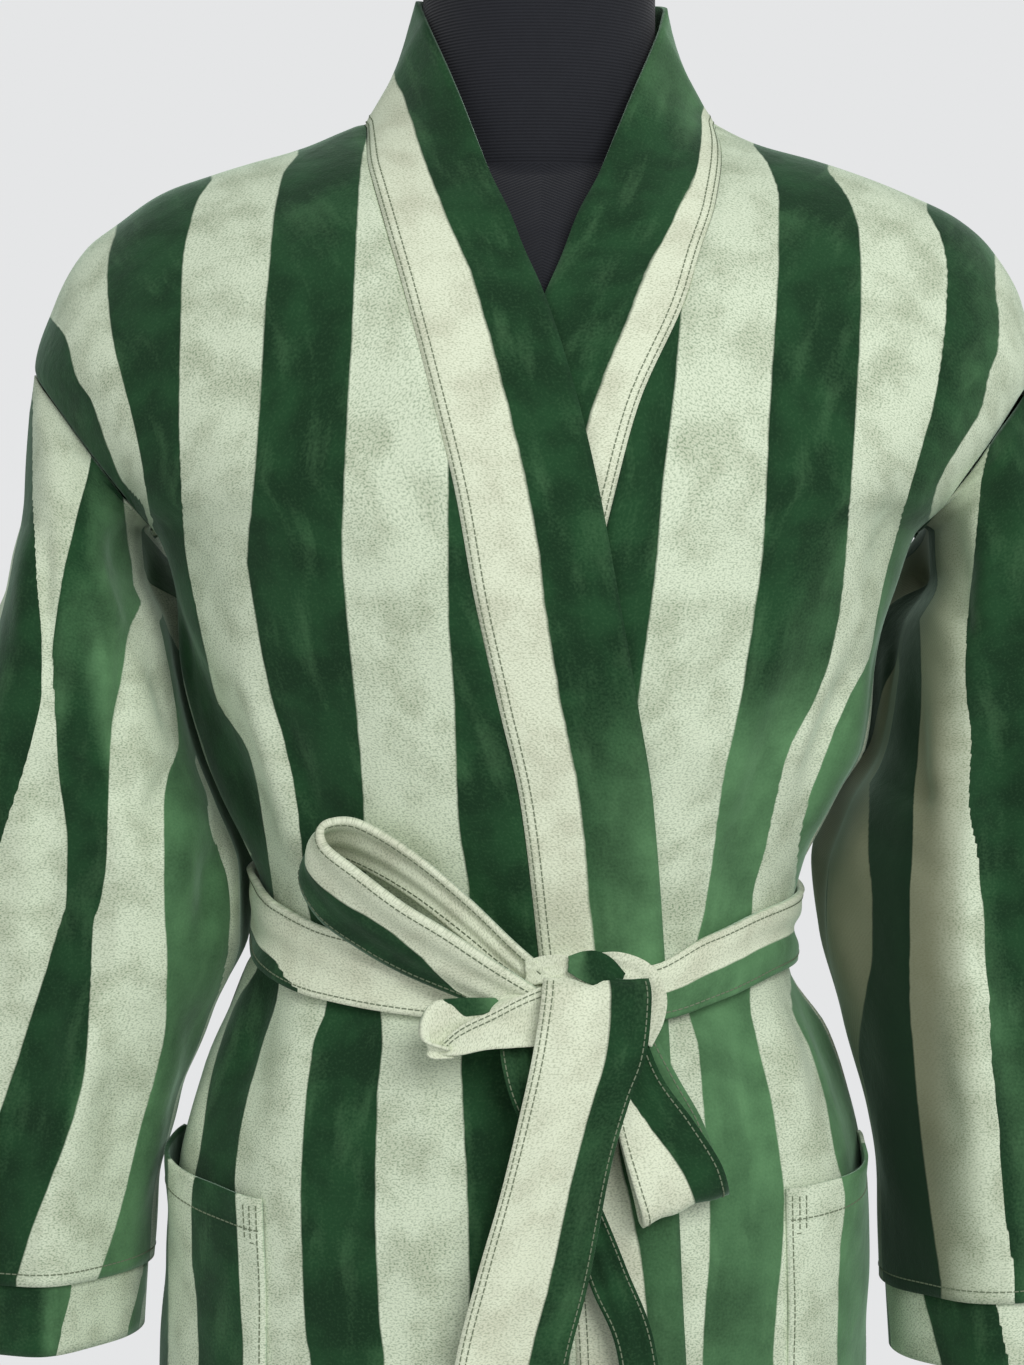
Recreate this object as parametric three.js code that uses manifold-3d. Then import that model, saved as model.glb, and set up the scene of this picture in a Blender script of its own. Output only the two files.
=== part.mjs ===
// A striped velvet kimono robe, wrapped and belted, standing on a limbless dress form.
// Millimetres, +Z up. The origin is on the floor under the form's pole. The front faces -Y,
// +X is the viewer's right. The panel on the viewer's left laps over the other one.
import * as THREE from 'three';
import { mergeVertices } from 'three/addons/utils/BufferGeometryUtils.js';
import Module from 'manifold-3d';

// Cloth
const CLOTH_WALL = 2.0;
const BELT_WALL = 3.6;
const SEAM_GAP = 0.3;
const LAP_RISE = 3.2;
const LAP_TURNS = { from: 196, to: 226 };
const BELT_GAP = 1.8;
const POCKET_GAP = 1.4;

// Heights of the robe
const HEM_Z = 200;
const UNDERARM_Z = 1172;
const ARMHOLE_TOP_Z = 1258;
const SHOULDER_NECK_Z = 1393;
const BACK_NECK_Z = 1397;

// Grid sizes of the cloth panels
const FRONT_COLUMNS = 12;
const BACK_COLUMNS = 24;
const BAND_COLUMNS = 3;
// The share of the back panel's top edge, from its middle, that is the neckline.
const NECK_SHARE = 5 / 12;
const ARMHOLE_STEPS = 10;
// How much the rows bow towards the armholes and along the shoulders.
const FRONT_FAN_BOW = 1.7;
const BACK_FAN_BOW = 2;
const BACK_FAN_RISE = 0.8;
const SHOULDER_BOW = 1.7;

// Form and stand
const FORM_BOTTOM_Z = 690;
const FORM_SIDES = 28;
const FORM_CLEARANCE = 3.4;
const FORM_BACK_CLEARANCE = 6;
const NECK_TOP_Z = 1490;
const NECK_CAP_THICK = 6;
const NECK_CAP_X = 5;
const NECK_CAP_Y = 5;
const NECK_CAP_RADIUS = 54;
const NECK_CAP_TOP_RADIUS = 50;
const POLE_RADIUS = 12.5;
const BASE_RADIUS = 200;
const BASE_RIM = 8;
const BASE_THICK = 16;
const HUB_RADIUS = 30;
const HUB_EDGE = 4;
const HUB_TOP_Z = 46;
const ROUND_SIDES = 40;
const POLE_SIDES = 24;

// Colours
const VELVET_GREEN = 0x285f38;
const HEATHER_CREAM = 0xbfc3ac;
const FORM_BLACK = 0x15161b;
const STAND_BLACK = 0x26272a;

// The outside of the robe's body at each height: half widths to the viewer's left and
// right of X = 0, depths to the front and back of the ridge line, and the ridge's own Y.
const BODY = [
  { z: 200, left: 214, right: 204, front: 158, back: 160, ridge: 0 },
  { z: 450, left: 206, right: 192, front: 151, back: 153, ridge: 0 },
  { z: 600, left: 200, right: 183, front: 147, back: 150, ridge: 0 },
  { z: 730, left: 195, right: 174, front: 143, back: 147, ridge: 0 },
  { z: 808, left: 189, right: 176, front: 141, back: 143, ridge: 0 },
  { z: 845, left: 187, right: 174, front: 138, back: 139, ridge: 0 },
  { z: 885, left: 176, right: 165, front: 130, back: 129, ridge: 0 },
  { z: 910, left: 167, right: 156, front: 121, back: 119, ridge: 0 },
  { z: 941, left: 153, right: 138, front: 111, back: 106, ridge: 0 },
  { z: 965, left: 143, right: 135, front: 108, back: 101, ridge: 0 },
  { z: 985, left: 143, right: 140, front: 110, back: 101, ridge: 0 },
  { z: 1007, left: 150, right: 149, front: 115, back: 104, ridge: 0 },
  { z: 1035, left: 162, right: 164, front: 121, back: 109, ridge: 0 },
  { z: 1060, left: 172, right: 178, front: 127, back: 113, ridge: 0 },
  { z: 1110, left: 185, right: 185, front: 137, back: 118, ridge: 0 },
  { z: 1143, left: 188, right: 193, front: 141, back: 120, ridge: 1 },
  { z: 1172, left: 198, right: 204, front: 142, back: 120, ridge: 2 },
  { z: 1190, left: 221, right: 227, front: 141, back: 119, ridge: 3 },
  { z: 1215, left: 245, right: 250, front: 137, back: 116, ridge: 4 },
  { z: 1240, left: 258, right: 262, front: 131, back: 113, ridge: 5 },
  { z: 1258, left: 264, right: 268, front: 126, back: 110, ridge: 5 },
  { z: 1295, left: 254, right: 261, front: 112, back: 104, ridge: 5 },
  { z: 1324, left: 237, right: 245, front: 94, back: 94, ridge: 5 },
  { z: 1340, left: 218, right: 228, front: 81, back: 86, ridge: 5 },
  { z: 1355, left: 193, right: 198, front: 67, back: 78, ridge: 5 },
  { z: 1370, left: 151, right: 156, front: 50, back: 68, ridge: 5 },
  { z: 1382, left: 114, right: 120, front: 34, back: 61, ridge: 5 },
  { z: 1393, left: 88, right: 98, front: 17, back: 57, ridge: 5 },
  { z: 1397, left: 82, right: 92, front: 10, back: 56, ridge: 5 },
];
const ROUNDNESS = 2.2;

// The dress form's own surface.
const FORM = [
  { z: 690, left: 160, right: 148, front: 112, back: 116, ridge: 0 },
  { z: 720, left: 174, right: 160, front: 122, back: 126, ridge: 0 },
  { z: 800, left: 179, right: 165, front: 127, back: 130, ridge: 0 },
  { z: 845, left: 175, right: 162, front: 124, back: 126, ridge: 0 },
  { z: 910, left: 154, right: 144, front: 108, back: 108, ridge: 0 },
  { z: 965, left: 134, right: 127, front: 98, back: 91, ridge: 0 },
  { z: 1007, left: 138, right: 135, front: 104, back: 94, ridge: 0 },
  { z: 1060, left: 148, right: 148, front: 116, back: 103, ridge: 0 },
  { z: 1110, left: 158, right: 160, front: 128, back: 109, ridge: 0 },
  { z: 1172, left: 168, right: 172, front: 135, back: 112, ridge: 2 },
  { z: 1215, left: 173, right: 178, front: 130, back: 109, ridge: 4 },
  { z: 1258, left: 178, right: 184, front: 119, back: 104, ridge: 5 },
  { z: 1295, left: 184, right: 190, front: 105, back: 98, ridge: 5 },
  { z: 1324, left: 187, right: 194, front: 88, back: 88, ridge: 5 },
  { z: 1345, left: 186, right: 193, front: 74, back: 80, ridge: 5 },
  { z: 1395, left: 186, right: 193, front: 74, back: 80, ridge: 5 },
];

// The form's neck, upright above its foot.
const NECK = { left: 57.5, right: 66.5, front: 57.5, back: 50.4 };
const NECK_FOOT_Z = 1345;

// The over-front's edges by height: the seam to the neckband and the band's free edge.
const OVER_EDGE = [
  { z: 200, seam: 26, free: 84 },
  { z: 600, seam: 24, free: 80 },
  { z: 763, seam: 21, free: 74 },
  { z: 850, seam: 14, free: 70 },
  { z: 920, seam: 7, free: 67 },
  { z: 961, seam: 3, free: 65 },
  { z: 1036, seam: -6, free: 59 },
  { z: 1085, seam: -17, free: 51 },
  { z: 1134, seam: -28, free: 42 },
  { z: 1184, seam: -37, free: 33 },
  { z: 1233, seam: -49, free: 22 },
  { z: 1286, seam: -63, free: 6 },
  { z: 1324, seam: -74, free: -11 },
  { z: 1345, seam: -80, free: -20 },
  { z: 1365, seam: -85, free: -30 },
  { z: 1393, seam: -88, free: -50 },
];

// The same for the front that lies underneath.
const UNDER_EDGE = [
  { z: 200, seam: -26, free: -84 },
  { z: 600, seam: -24, free: -82 },
  { z: 850, seam: -14, free: -76 },
  { z: 961, seam: -4, free: -70 },
  { z: 1036, seam: 4, free: -62 },
  { z: 1085, seam: 17, free: -50 },
  { z: 1134, seam: 28, free: -40 },
  { z: 1173, seam: 37, free: -30 },
  { z: 1230, seam: 52, free: -15 },
  { z: 1287, seam: 77, free: 6 },
  { z: 1310, seam: 84, free: 16 },
  { z: 1340, seam: 94, free: 29 },
  { z: 1378, seam: 100, free: 46 },
  { z: 1393, seam: 98, free: 58 },
];

// The neckband's free edge where it leaves the chest and stands round the neck, one row
// for each of the seam's last heights, then round the back from left to right.
const BAND_STANDS_LEFT = [
  { seamZ: 1325, x: -11, y: -97, z: 1330 },
  { seamZ: 1347, x: -20, y: -83, z: 1350 },
  { seamZ: 1365, x: -28, y: -71, z: 1370 },
  { seamZ: 1380, x: -38, y: -57, z: 1396 },
  { seamZ: 1389, x: -47, y: -44, z: 1418 },
  { seamZ: 1393, x: -56, y: -26, z: 1440 },
];
const BAND_STANDS_RIGHT = [
  { seamZ: 1325, x: 23, y: -93, z: 1330 },
  { seamZ: 1347, x: 34, y: -79, z: 1352 },
  { seamZ: 1365, x: 43, y: -66, z: 1374 },
  { seamZ: 1380, x: 53, y: -52, z: 1398 },
  { seamZ: 1389, x: 61, y: -38, z: 1417 },
  { seamZ: 1393, x: 69, y: -20, z: 1438 },
];
const BAND_ROUND_BACK = [
  { turn: 162, x: -62, y: 12, z: 1460 },
  { turn: 144, x: -55, y: 38, z: 1465 },
  { turn: 126, x: -38, y: 57, z: 1466 },
  { turn: 108, x: -17, y: 67, z: 1466 },
  { turn: 90, x: 5, y: 70, z: 1466 },
  { turn: 72, x: 27, y: 67, z: 1466 },
  { turn: 54, x: 48, y: 57, z: 1465 },
  { turn: 36, x: 65, y: 38, z: 1463 },
  { turn: 18, x: 73, y: 12, z: 1456 },
];

// Rings down each sleeve: its outer and inner line, and its depth to the front and back.
const SLEEVE_LEFT = [
  { outX: -266.5, outZ: 1238, inX: -202, inZ: 1179, front: 60, back: 58, mid: 3 },
  { outX: -267.5, outZ: 1212, inX: -207, inZ: 1174, front: 69, back: 64, mid: 2 },
  { outX: -269, outZ: 1186, inX: -206, inZ: 1152, front: 77, back: 70, mid: 0 },
  { outX: -275, outZ: 1156, inX: -195, inZ: 1126, front: 82, back: 75, mid: -2 },
  { outX: -286, outZ: 1122, inX: -188, inZ: 1097, front: 84, back: 76, mid: -5 },
  { outX: -298, outZ: 1080, inX: -179, inZ: 1062, front: 83, back: 75, mid: -8 },
  { outX: -307, outZ: 1040, inX: -167, inZ: 1030, front: 79, back: 73, mid: -10 },
  { outX: -314, outZ: 1000, inX: -155, inZ: 996, front: 75, back: 70, mid: -12 },
  { outX: -320, outZ: 960, inX: -153, inZ: 960, front: 72, back: 68, mid: -12 },
  { outX: -325, outZ: 918, inX: -169, inZ: 918, front: 74, back: 70, mid: -12 },
  { outX: -330, outZ: 872, inX: -187, inZ: 872, front: 77, back: 73, mid: -12 },
  { outX: -333, outZ: 830, inX: -197, inZ: 830, front: 79, back: 75, mid: -12 },
  { outX: -334, outZ: 790, inX: -200, inZ: 790, front: 80, back: 76, mid: -12 },
];
const SLEEVE_RIGHT = [
  { outX: 270.5, outZ: 1238, inX: 208, inZ: 1179, front: 60, back: 58, mid: 3 },
  { outX: 272, outZ: 1212, inX: 213, inZ: 1174, front: 69, back: 64, mid: 2 },
  { outX: 275, outZ: 1186, inX: 213, inZ: 1152, front: 77, back: 70, mid: 0 },
  { outX: 281, outZ: 1156, inX: 201, inZ: 1126, front: 82, back: 75, mid: -2 },
  { outX: 290, outZ: 1122, inX: 193, inZ: 1097, front: 84, back: 76, mid: -5 },
  { outX: 300, outZ: 1080, inX: 187, inZ: 1062, front: 83, back: 75, mid: -8 },
  { outX: 307, outZ: 1040, inX: 170, inZ: 1030, front: 81, back: 74, mid: -10 },
  { outX: 313, outZ: 1000, inX: 158, inZ: 996, front: 80, back: 74, mid: -12 },
  { outX: 318, outZ: 960, inX: 157, inZ: 960, front: 79, back: 74, mid: -12 },
  { outX: 322, outZ: 918, inX: 166, inZ: 916, front: 79, back: 74, mid: -12 },
  { outX: 326, outZ: 872, inX: 179, inZ: 868, front: 80, back: 75, mid: -12 },
  { outX: 329, outZ: 830, inX: 184, inZ: 824, front: 80, back: 76, mid: -12 },
  { outX: 331, outZ: 786, inX: 185, inZ: 779, front: 80, back: 76, mid: -12 },
];
// Folds down each sleeve: how many, how deep, where the first lies and how it drifts with
// each ring. They fade out over the first rings and towards the side next to the body.
const SLEEVE_FOLDS = 5;
const SLEEVE_FOLD_DEPTH = 6.5;
const SLEEVE_FOLD_START = 0.5;
const SLEEVE_FOLD_DRIFT = 0.16;
const SLEEVE_FOLD_RINGS = 6;
const SLEEVE_FOLD_SIDE = { none: -1, full: -0.2 };
// How far the back of each sleeve reaches in behind the body, and over which rings.
const SLEEVE_TUCK = 32;
const SLEEVE_TUCK_RINGS = { from: 0, full: 3, fade: 7, end: 10 };
const SLEEVE_TUCK_BACK = { from: 0.05, full: 0.95 };
const SLEEVE_TUCK_INNER = { from: 0.6, full: -0.5 };
const CUFF_TUCK = 12;
const CUFF_SHOWS = 36;
const CUFF_INSET = 2.8;
const CUFF_TAPER = 0.06;

// The belt round the waist: its middle height and how high it stands, by turn in degrees.
const BELT_LINE = [
  { turn: 0, z: 968, height: 38 },
  { turn: 45, z: 980, height: 44 },
  { turn: 90, z: 985, height: 46 },
  { turn: 135, z: 984, height: 44 },
  { turn: 180, z: 979, height: 38 },
  { turn: 205, z: 962, height: 38 },
  { turn: 225, z: 949, height: 37 },
  { turn: 245, z: 941, height: 33 },
  { turn: 270, z: 938, height: 27 },
  { turn: 298, z: 938, height: 28 },
  { turn: 315, z: 950, height: 36 },
  { turn: 335, z: 962, height: 37 },
  { turn: 360, z: 968, height: 38 },
];
const BELT_STEPS = 40;
const BELT_BELLY = 0.8;
const BELT_LEVELS = [-0.5, -0.17, 0.17, 0.5];
// The belt stands off by the lap's rise between these turns.
const BELT_ON_LAP = { from: 190, full: 205, last: 310, to: 330 };

// The knot, and the strips of the bow: one row for each pair of edge points.
const KNOT = { x: 12, y: -138.4, z: 939, halfX: 50, halfY: 15, halfZ: 25, tilt: 0.18 };
const KNOT_SQUARENESS = 0.8;
const UPPER_LOOP = [
  { lowX: -14, lowY: -136, lowZ: 934, highX: 6, highY: -143, highZ: 944 },
  { lowX: -38, lowY: -127, lowZ: 943, highX: -18, highY: -146, highZ: 958 },
  { lowX: -62, lowY: -117, lowZ: 956, highX: -42, highY: -145, highZ: 972 },
  { lowX: -84, lowY: -109, lowZ: 968, highX: -64, highY: -142, highZ: 985 },
  { lowX: -104, lowY: -102, lowZ: 982, highX: -86, highY: -138, highZ: 1001 },
  { lowX: -115, lowY: -97, lowZ: 996, highX: -103, highY: -132, highZ: 1014 },
  { lowX: -112, lowY: -95, lowZ: 1007, highX: -104, highY: -127, highZ: 1025 },
  { lowX: -98, lowY: -100, lowZ: 1008, highX: -90, highY: -125, highZ: 1028 },
  { lowX: -80, lowY: -109, lowZ: 1001, highX: -73, highY: -127, highZ: 1021 },
  { lowX: -58, lowY: -118, lowZ: 988, highX: -51, highY: -130, highZ: 1006 },
  { lowX: -36, lowY: -126, lowZ: 971, highX: -30, highY: -132, highZ: 988 },
  { lowX: -14, lowY: -130, lowZ: 953, highX: -8, highY: -134, highZ: 967 },
  { lowX: 6, lowY: -132, lowZ: 943, highX: 12, highY: -135, highZ: 952 },
];
const LOWER_LOOP = [
  { lowX: 30, lowY: -143, lowZ: 934, highX: 50, highY: -141, highZ: 934 },
  { lowX: 36, lowY: -150, lowZ: 905, highX: 62, highY: -144, highZ: 902 },
  { lowX: 40, lowY: -156, lowZ: 880, highX: 78, highY: -147, highZ: 880 },
  { lowX: 47, lowY: -158, lowZ: 855, highX: 90, highY: -147, highZ: 862 },
  { lowX: 52, lowY: -156, lowZ: 838, highX: 94, highY: -142, highZ: 850 },
  { lowX: 52, lowY: -150, lowZ: 834, highX: 94, highY: -134, highZ: 848 },
  { lowX: 50, lowY: -147, lowZ: 844, highX: 91, highY: -131, highZ: 858 },
  { lowX: 44, lowY: -145, lowZ: 868, highX: 83, highY: -131, highZ: 880 },
  { lowX: 38, lowY: -141, lowZ: 895, highX: 70, highY: -131, highZ: 903 },
  { lowX: 34, lowY: -134, lowZ: 930, highX: 54, highY: -131, highZ: 934 },
];
const FRONT_TAIL = [
  { lowX: 5, lowY: -150, lowZ: 950, highX: 56, highY: -146, highZ: 950 },
  { lowX: 4, lowY: -158, lowZ: 940, highX: 57, highY: -156, highZ: 938 },
  { lowX: 0, lowY: -161, lowZ: 916, highX: 54, highY: -160, highZ: 914 },
  { lowX: -6, lowY: -161, lowZ: 888, highX: 46, highY: -162, highZ: 892 },
  { lowX: -16, lowY: -160, lowZ: 846, highX: 37, highY: -164, highZ: 860 },
  { lowX: -27, lowY: -160, lowZ: 808, highX: 27, highY: -164, highZ: 808 },
  { lowX: -38, lowY: -160, lowZ: 763, highX: 16, highY: -163, highZ: 763 },
  { lowX: -46, lowY: -161, lowZ: 700, highX: 8, highY: -163, highZ: 700 },
  { lowX: -50, lowY: -163, lowZ: 600, highX: 4, highY: -164, highZ: 600 },
];
const REAR_TAIL = [
  { lowX: -18, lowY: -138, lowZ: 932, highX: 0, highY: -139, highZ: 930 },
  { lowX: -14, lowY: -149, lowZ: 905, highX: 4, highY: -150, highZ: 906 },
  { lowX: -7, lowY: -153, lowZ: 884, highX: 11, highY: -152, highZ: 888 },
  { lowX: 14, lowY: -153, lowZ: 840, highX: 30, highY: -152, highZ: 848 },
  { lowX: 28, lowY: -153, lowZ: 802, highX: 45, highY: -152, highZ: 812 },
  { lowX: 41, lowY: -154, lowZ: 768, highX: 59, highY: -152, highZ: 772 },
  { lowX: 46, lowY: -156, lowZ: 700, highX: 65, highY: -153, highZ: 700 },
  { lowX: 46, lowY: -158, lowZ: 640, highX: 65, highY: -155, highZ: 640 },
];
const REAR_TAIL_WALL = 5.5;
const STRIP_STEPS = 22;

// The patch pockets: the height of the bottom and of the slanted opening, and how far the
// opening stands away from the front.
const POCKET_LEFT = { innerX: -131, outerTurn: 184, innerZ: 837, outerZ: 860, bottomZ: 690 };
const POCKET_RIGHT = { innerX: 127, outerTurn: 356, innerZ: 841, outerZ: 857, bottomZ: 690 };
const POCKET_GAPE = 7;
const POCKET_GAPE_POWER = 4;
const POCKET_MOUTH_BOW = 1.6;
const POCKET_COLUMNS = 9;
const POCKET_ROWS = 7;

const DEGREE = Math.PI / 180;
const mix = (a, b, t) => a + (b - a) * t;
const smooth = (low, high, value) => {
  const t = Math.min(1, Math.max(0, (value - low) / (high - low)));
  return t * t * (3 - 2 * t);
};

// A curve through one column of a table that doesn't overshoot between its rows.
function through(rows, key, along = 'z') {
  const xs = rows.map((row) => row[along]);
  const ys = rows.map((row) => row[key]);
  const slopes = xs.slice(1).map((x, i) => (ys[i + 1] - ys[i]) / (x - xs[i]));
  const tangents = xs.map((_, i) => {
    if (i === 0) return slopes[0];
    if (i === xs.length - 1) return slopes[i - 1];
    const product = slopes[i - 1] * slopes[i];
    return product <= 0 ? 0 : (2 * product) / (slopes[i - 1] + slopes[i]);
  });
  return (x) => {
    const at = Math.min(xs[xs.length - 1], Math.max(xs[0], x));
    let i = 0;
    while (i < xs.length - 2 && at > xs[i + 1]) i += 1;
    const h = xs[i + 1] - xs[i];
    const t = (at - xs[i]) / h;
    const held = (1 + 2 * t) * (1 - t) * (1 - t) * ys[i] + t * t * (3 - 2 * t) * ys[i + 1];
    return held + h * (t * (1 - t) * (1 - t) * tangents[i] - t * t * (1 - t) * tangents[i + 1]);
  };
}

function sectionsOf(rows) {
  const keys = ['left', 'right', 'front', 'back', 'ridge'];
  const columns = Object.fromEntries(keys.map((key) => [key, through(rows, key)]));
  return (z) => Object.fromEntries(keys.map((key) => [key, columns[key](z)]));
}

// A point of a section at a turn: 0 is the viewer's right, 90 the back, 180 the left and
// 270 the front.
function sectionPoint(section, turn, z) {
  const c = Math.cos(turn);
  const s = Math.sin(turn);
  const wide = c < 0 ? section.left : section.right;
  const deep = s < 0 ? section.front : section.back;
  const power = (Math.abs(c) / wide) ** ROUNDNESS + (Math.abs(s) / deep) ** ROUNDNESS;
  const radius = power ** (-1 / ROUNDNESS);
  return new THREE.Vector3(radius * c, section.ridge + radius * s, z);
}

// The turn at which a section's front passes a given X.
function frontTurn(section, x) {
  const wide = x < 0 ? section.left : section.right;
  const share = Math.min(1, Math.abs(x) / wide);
  const y = section.front * (1 - share ** ROUNDNESS) ** (1 / ROUNDNESS);
  return (Math.atan2(-y, x) + 2 * Math.PI) % (2 * Math.PI);
}

const bodySection = sectionsOf(BODY);
const formSection = sectionsOf(FORM);

// Soft folds round the body, a row for each band of heights: where they start and are
// full, where they start to fade and end, how deep and how many they are, the turn of the
// first, and the share of the depth that they keep across the flat front.
const BODY_FOLDS = [
  { from: 880, full: 200, fade: 199, end: 198, deep: 9, count: 9, first: 0.6, onFront: 0.35 },
  { from: 985, full: 1040, fade: 1080, end: 1165, deep: 3, count: 14, first: 0, onFront: 0 },
  { from: 950, full: 905, fade: 850, end: 780, deep: 2.5, count: 13, first: 1, onFront: 0 },
];
const FRONT_FLATNESS = 8;
const FRONT_FLAT = { none: 0.25, full: 0.75 };

function foldAt(turn, z) {
  const facing = 1 - Math.abs(Math.sin((turn - Math.PI / 2) / 2)) ** FRONT_FLATNESS;
  const side = smooth(FRONT_FLAT.none, FRONT_FLAT.full, facing);
  return BODY_FOLDS.reduce((sum, { from, full, fade, end, deep, count, first, onFront }) => {
    const here = smooth(from, full, z) * smooth(end, fade, z);
    return sum + here * deep * Math.sin(count * turn + first) * mix(onFront, 1, side);
  }, 0);
}

function bodyPoint(turn, z) {
  const point = sectionPoint(bodySection(z), turn, z);
  const fold = foldAt(turn, z);
  point.x += fold * Math.cos(turn);
  point.y += fold * Math.sin(turn);
  return point;
}

// The steps in turn and height over which a normal is worked out.
const NORMAL_STEP = { turn: 0.004, z: 1 };

function bodyNormal(turn, z) {
  const { turn: swing, z: rise } = NORMAL_STEP;
  const along = bodyPoint(turn + swing, z).sub(bodyPoint(turn - swing, z));
  const up = bodyPoint(turn, z + rise).sub(bodyPoint(turn, z - rise));
  return along.cross(up).normalize();
}

// A point standing off the body's surface, with the direction in which its wall is thick.
function onBody(turn, z, out = 0) {
  const normal = bodyNormal(turn, z);
  return { point: bodyPoint(turn, z).addScaledVector(normal, out), normal };
}

// How far the over-front lies off the surface that the rest of the body shares.
function lapAt(turn) {
  return LAP_RISE * smooth(LAP_TURNS.from * DEGREE, LAP_TURNS.to * DEGREE, turn);
}

// A closed cloth wall from rows of outer points with their normals. A tube's columns
// close on themselves.
function clothWall(rows, wall, tube = false) {
  const height = rows.length;
  const width = rows[0].length;
  const outer = rows.flat().map(({ point }) => point);
  const inner = rows.flat().map(({ point, normal }) => point.clone().addScaledVector(normal, -wall));
  const positions = [...outer, ...inner].flatMap((p) => [p.x, p.y, p.z]);
  const back = outer.length;
  const at = (i, j) => i * width + (j % width);
  const faces = [];
  const quad = (a, b, c, d) => faces.push(a, b, c, a, c, d);
  const spans = tube ? width : width - 1;
  for (let i = 0; i < height - 1; i += 1) {
    for (let j = 0; j < spans; j += 1) {
      quad(at(i, j), at(i, j + 1), at(i + 1, j + 1), at(i + 1, j));
      quad(back + at(i + 1, j), back + at(i + 1, j + 1), back + at(i, j + 1), back + at(i, j));
    }
    if (!tube) {
      quad(at(i, 0), at(i + 1, 0), back + at(i + 1, 0), back + at(i, 0));
      quad(at(i + 1, width - 1), at(i, width - 1), back + at(i, width - 1), back + at(i + 1, width - 1));
    }
  }
  for (let j = 0; j < spans; j += 1) {
    quad(at(0, j + 1), at(0, j), back + at(0, j), back + at(0, j + 1));
    quad(at(height - 1, j), at(height - 1, j + 1), back + at(height - 1, j + 1), back + at(height - 1, j));
  }
  return outward(positions, faces);
}

// A geometry from points and faces, turned so that its faces point out.
function outward(positions, faces) {
  let volume = 0;
  const p = (k) => new THREE.Vector3(...positions.slice(3 * k, 3 * k + 3));
  for (let f = 0; f < faces.length; f += 3) {
    volume += p(faces[f]).dot(p(faces[f + 1]).cross(p(faces[f + 2])));
  }
  const turned = volume < 0 ? [...faces].reverse() : faces;
  const geometry = new THREE.BufferGeometry();
  geometry.setAttribute('position', new THREE.Float32BufferAttribute(positions, 3));
  geometry.setIndex(turned);
  geometry.computeVertexNormals();
  return geometry;
}

// Normals of a grid of points, from its neighbours.
function withNormals(grid, tube = false, flip = 1) {
  const height = grid.length;
  const width = grid[0].length;
  return grid.map((row, i) => row.map((point, j) => {
    const right = tube ? (j + 1) % width : Math.min(width - 1, j + 1);
    const left = tube ? (j + width - 1) % width : Math.max(0, j - 1);
    const across = row[right].clone().sub(row[left]);
    const up = grid[Math.min(height - 1, i + 1)][j].clone().sub(grid[Math.max(0, i - 1)][j]);
    return { point, normal: across.cross(up).normalize().multiplyScalar(flip) };
  }));
}

// Heights of the panels' rows below the underarm, close together where the waist turns.
const LOWER_ROWS = [
  HEM_Z, 320, 440, 560, 660, 740, 800, 845, 880, 908, 930, 948, 964, 982,
  1002, 1028, 1060, 1098, 1136, UNDERARM_Z,
];
// Heights of the upper rows where they meet the neckband.
const UPPER_ROWS = [1205, 1238, 1268, 1298, 1325, 1347, 1365, 1380, 1389, SHOULDER_NECK_Z];

// The armhole seam as turn and height, from the underarm (0) to the top (ARMHOLE_STEPS).
function armholeAt(step, leftSide, backHalf) {
  const swing = Math.cos((Math.PI * step) / ARMHOLE_STEPS);
  const z = mix(UNDERARM_Z, ARMHOLE_TOP_Z, (1 - swing) / 2);
  const section = bodySection(z);
  const lowSection = bodySection(UNDERARM_Z);
  const topSection = bodySection(ARMHOLE_TOP_Z);
  const side = leftSide ? 'left' : 'right';
  const reach = mix(lowSection[side], topSection[side], (1 - swing) / 2);
  const share = Math.min(1, reach / section[side]);
  const deep = backHalf ? section.back : section.front;
  const y = deep * (1 - share ** ROUNDNESS) ** (1 / ROUNDNESS);
  const angle = Math.atan2(y, reach);
  if (leftSide) return { turn: Math.PI + (backHalf ? -angle : angle), z };
  return { turn: backHalf ? angle : 2 * Math.PI - angle, z };
}

// Moves a seam's turn towards the inside of a panel by half the seam's gap.
function pulledBack(turn, z, direction) {
  const reach = bodyPoint(turn, z);
  return turn + (direction * SEAM_GAP) / 2 / Math.hypot(reach.x, reach.y);
}

// One row of a front panel from the neckband's seam to the side seam or armhole.
function frontRow(seamX, seamZ, edge, fan, leftSide) {
  const inward = leftSide ? 1 : -1;
  const seam = seamAt(seamX, seamZ, leftSide, fan);
  const start = pulledBack(seam, seamZ, -inward);
  const end = pulledBack(edge.turn, edge.z, inward);
  const row = [];
  for (let j = 0; j <= FRONT_COLUMNS; j += 1) {
    const t = j / FRONT_COLUMNS;
    const turn = mix(start, end, t);
    const z = mix(seamZ, edge.z, t ** mix(1, FRONT_FAN_BOW, fan));
    row.push(onBody(turn, z, leftSide ? lapAt(turn) : 0));
  }
  return row;
}

// The turn of the neckband's seam, which ends on the shoulder's ridge.
function seamAt(seamX, seamZ, leftSide, fan) {
  if (fan === 1) return leftSide ? Math.PI : 2 * Math.PI;
  return frontTurn(bodySection(seamZ), seamX);
}

function frontPanel(edges, leftSide) {
  const seamX = through(edges, 'seam');
  const sideTurn = leftSide ? Math.PI : 2 * Math.PI;
  const rows = LOWER_ROWS.map((z) => frontRow(seamX(z), z, { turn: sideTurn, z }, 0, leftSide));
  UPPER_ROWS.forEach((z, k) => {
    const edge = armholeAt(k + 1, leftSide, false);
    rows.push(frontRow(seamX(z), z, edge, (k + 1) / ARMHOLE_STEPS, leftSide));
  });
  return clothWall(rows, CLOTH_WALL);
}

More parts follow.
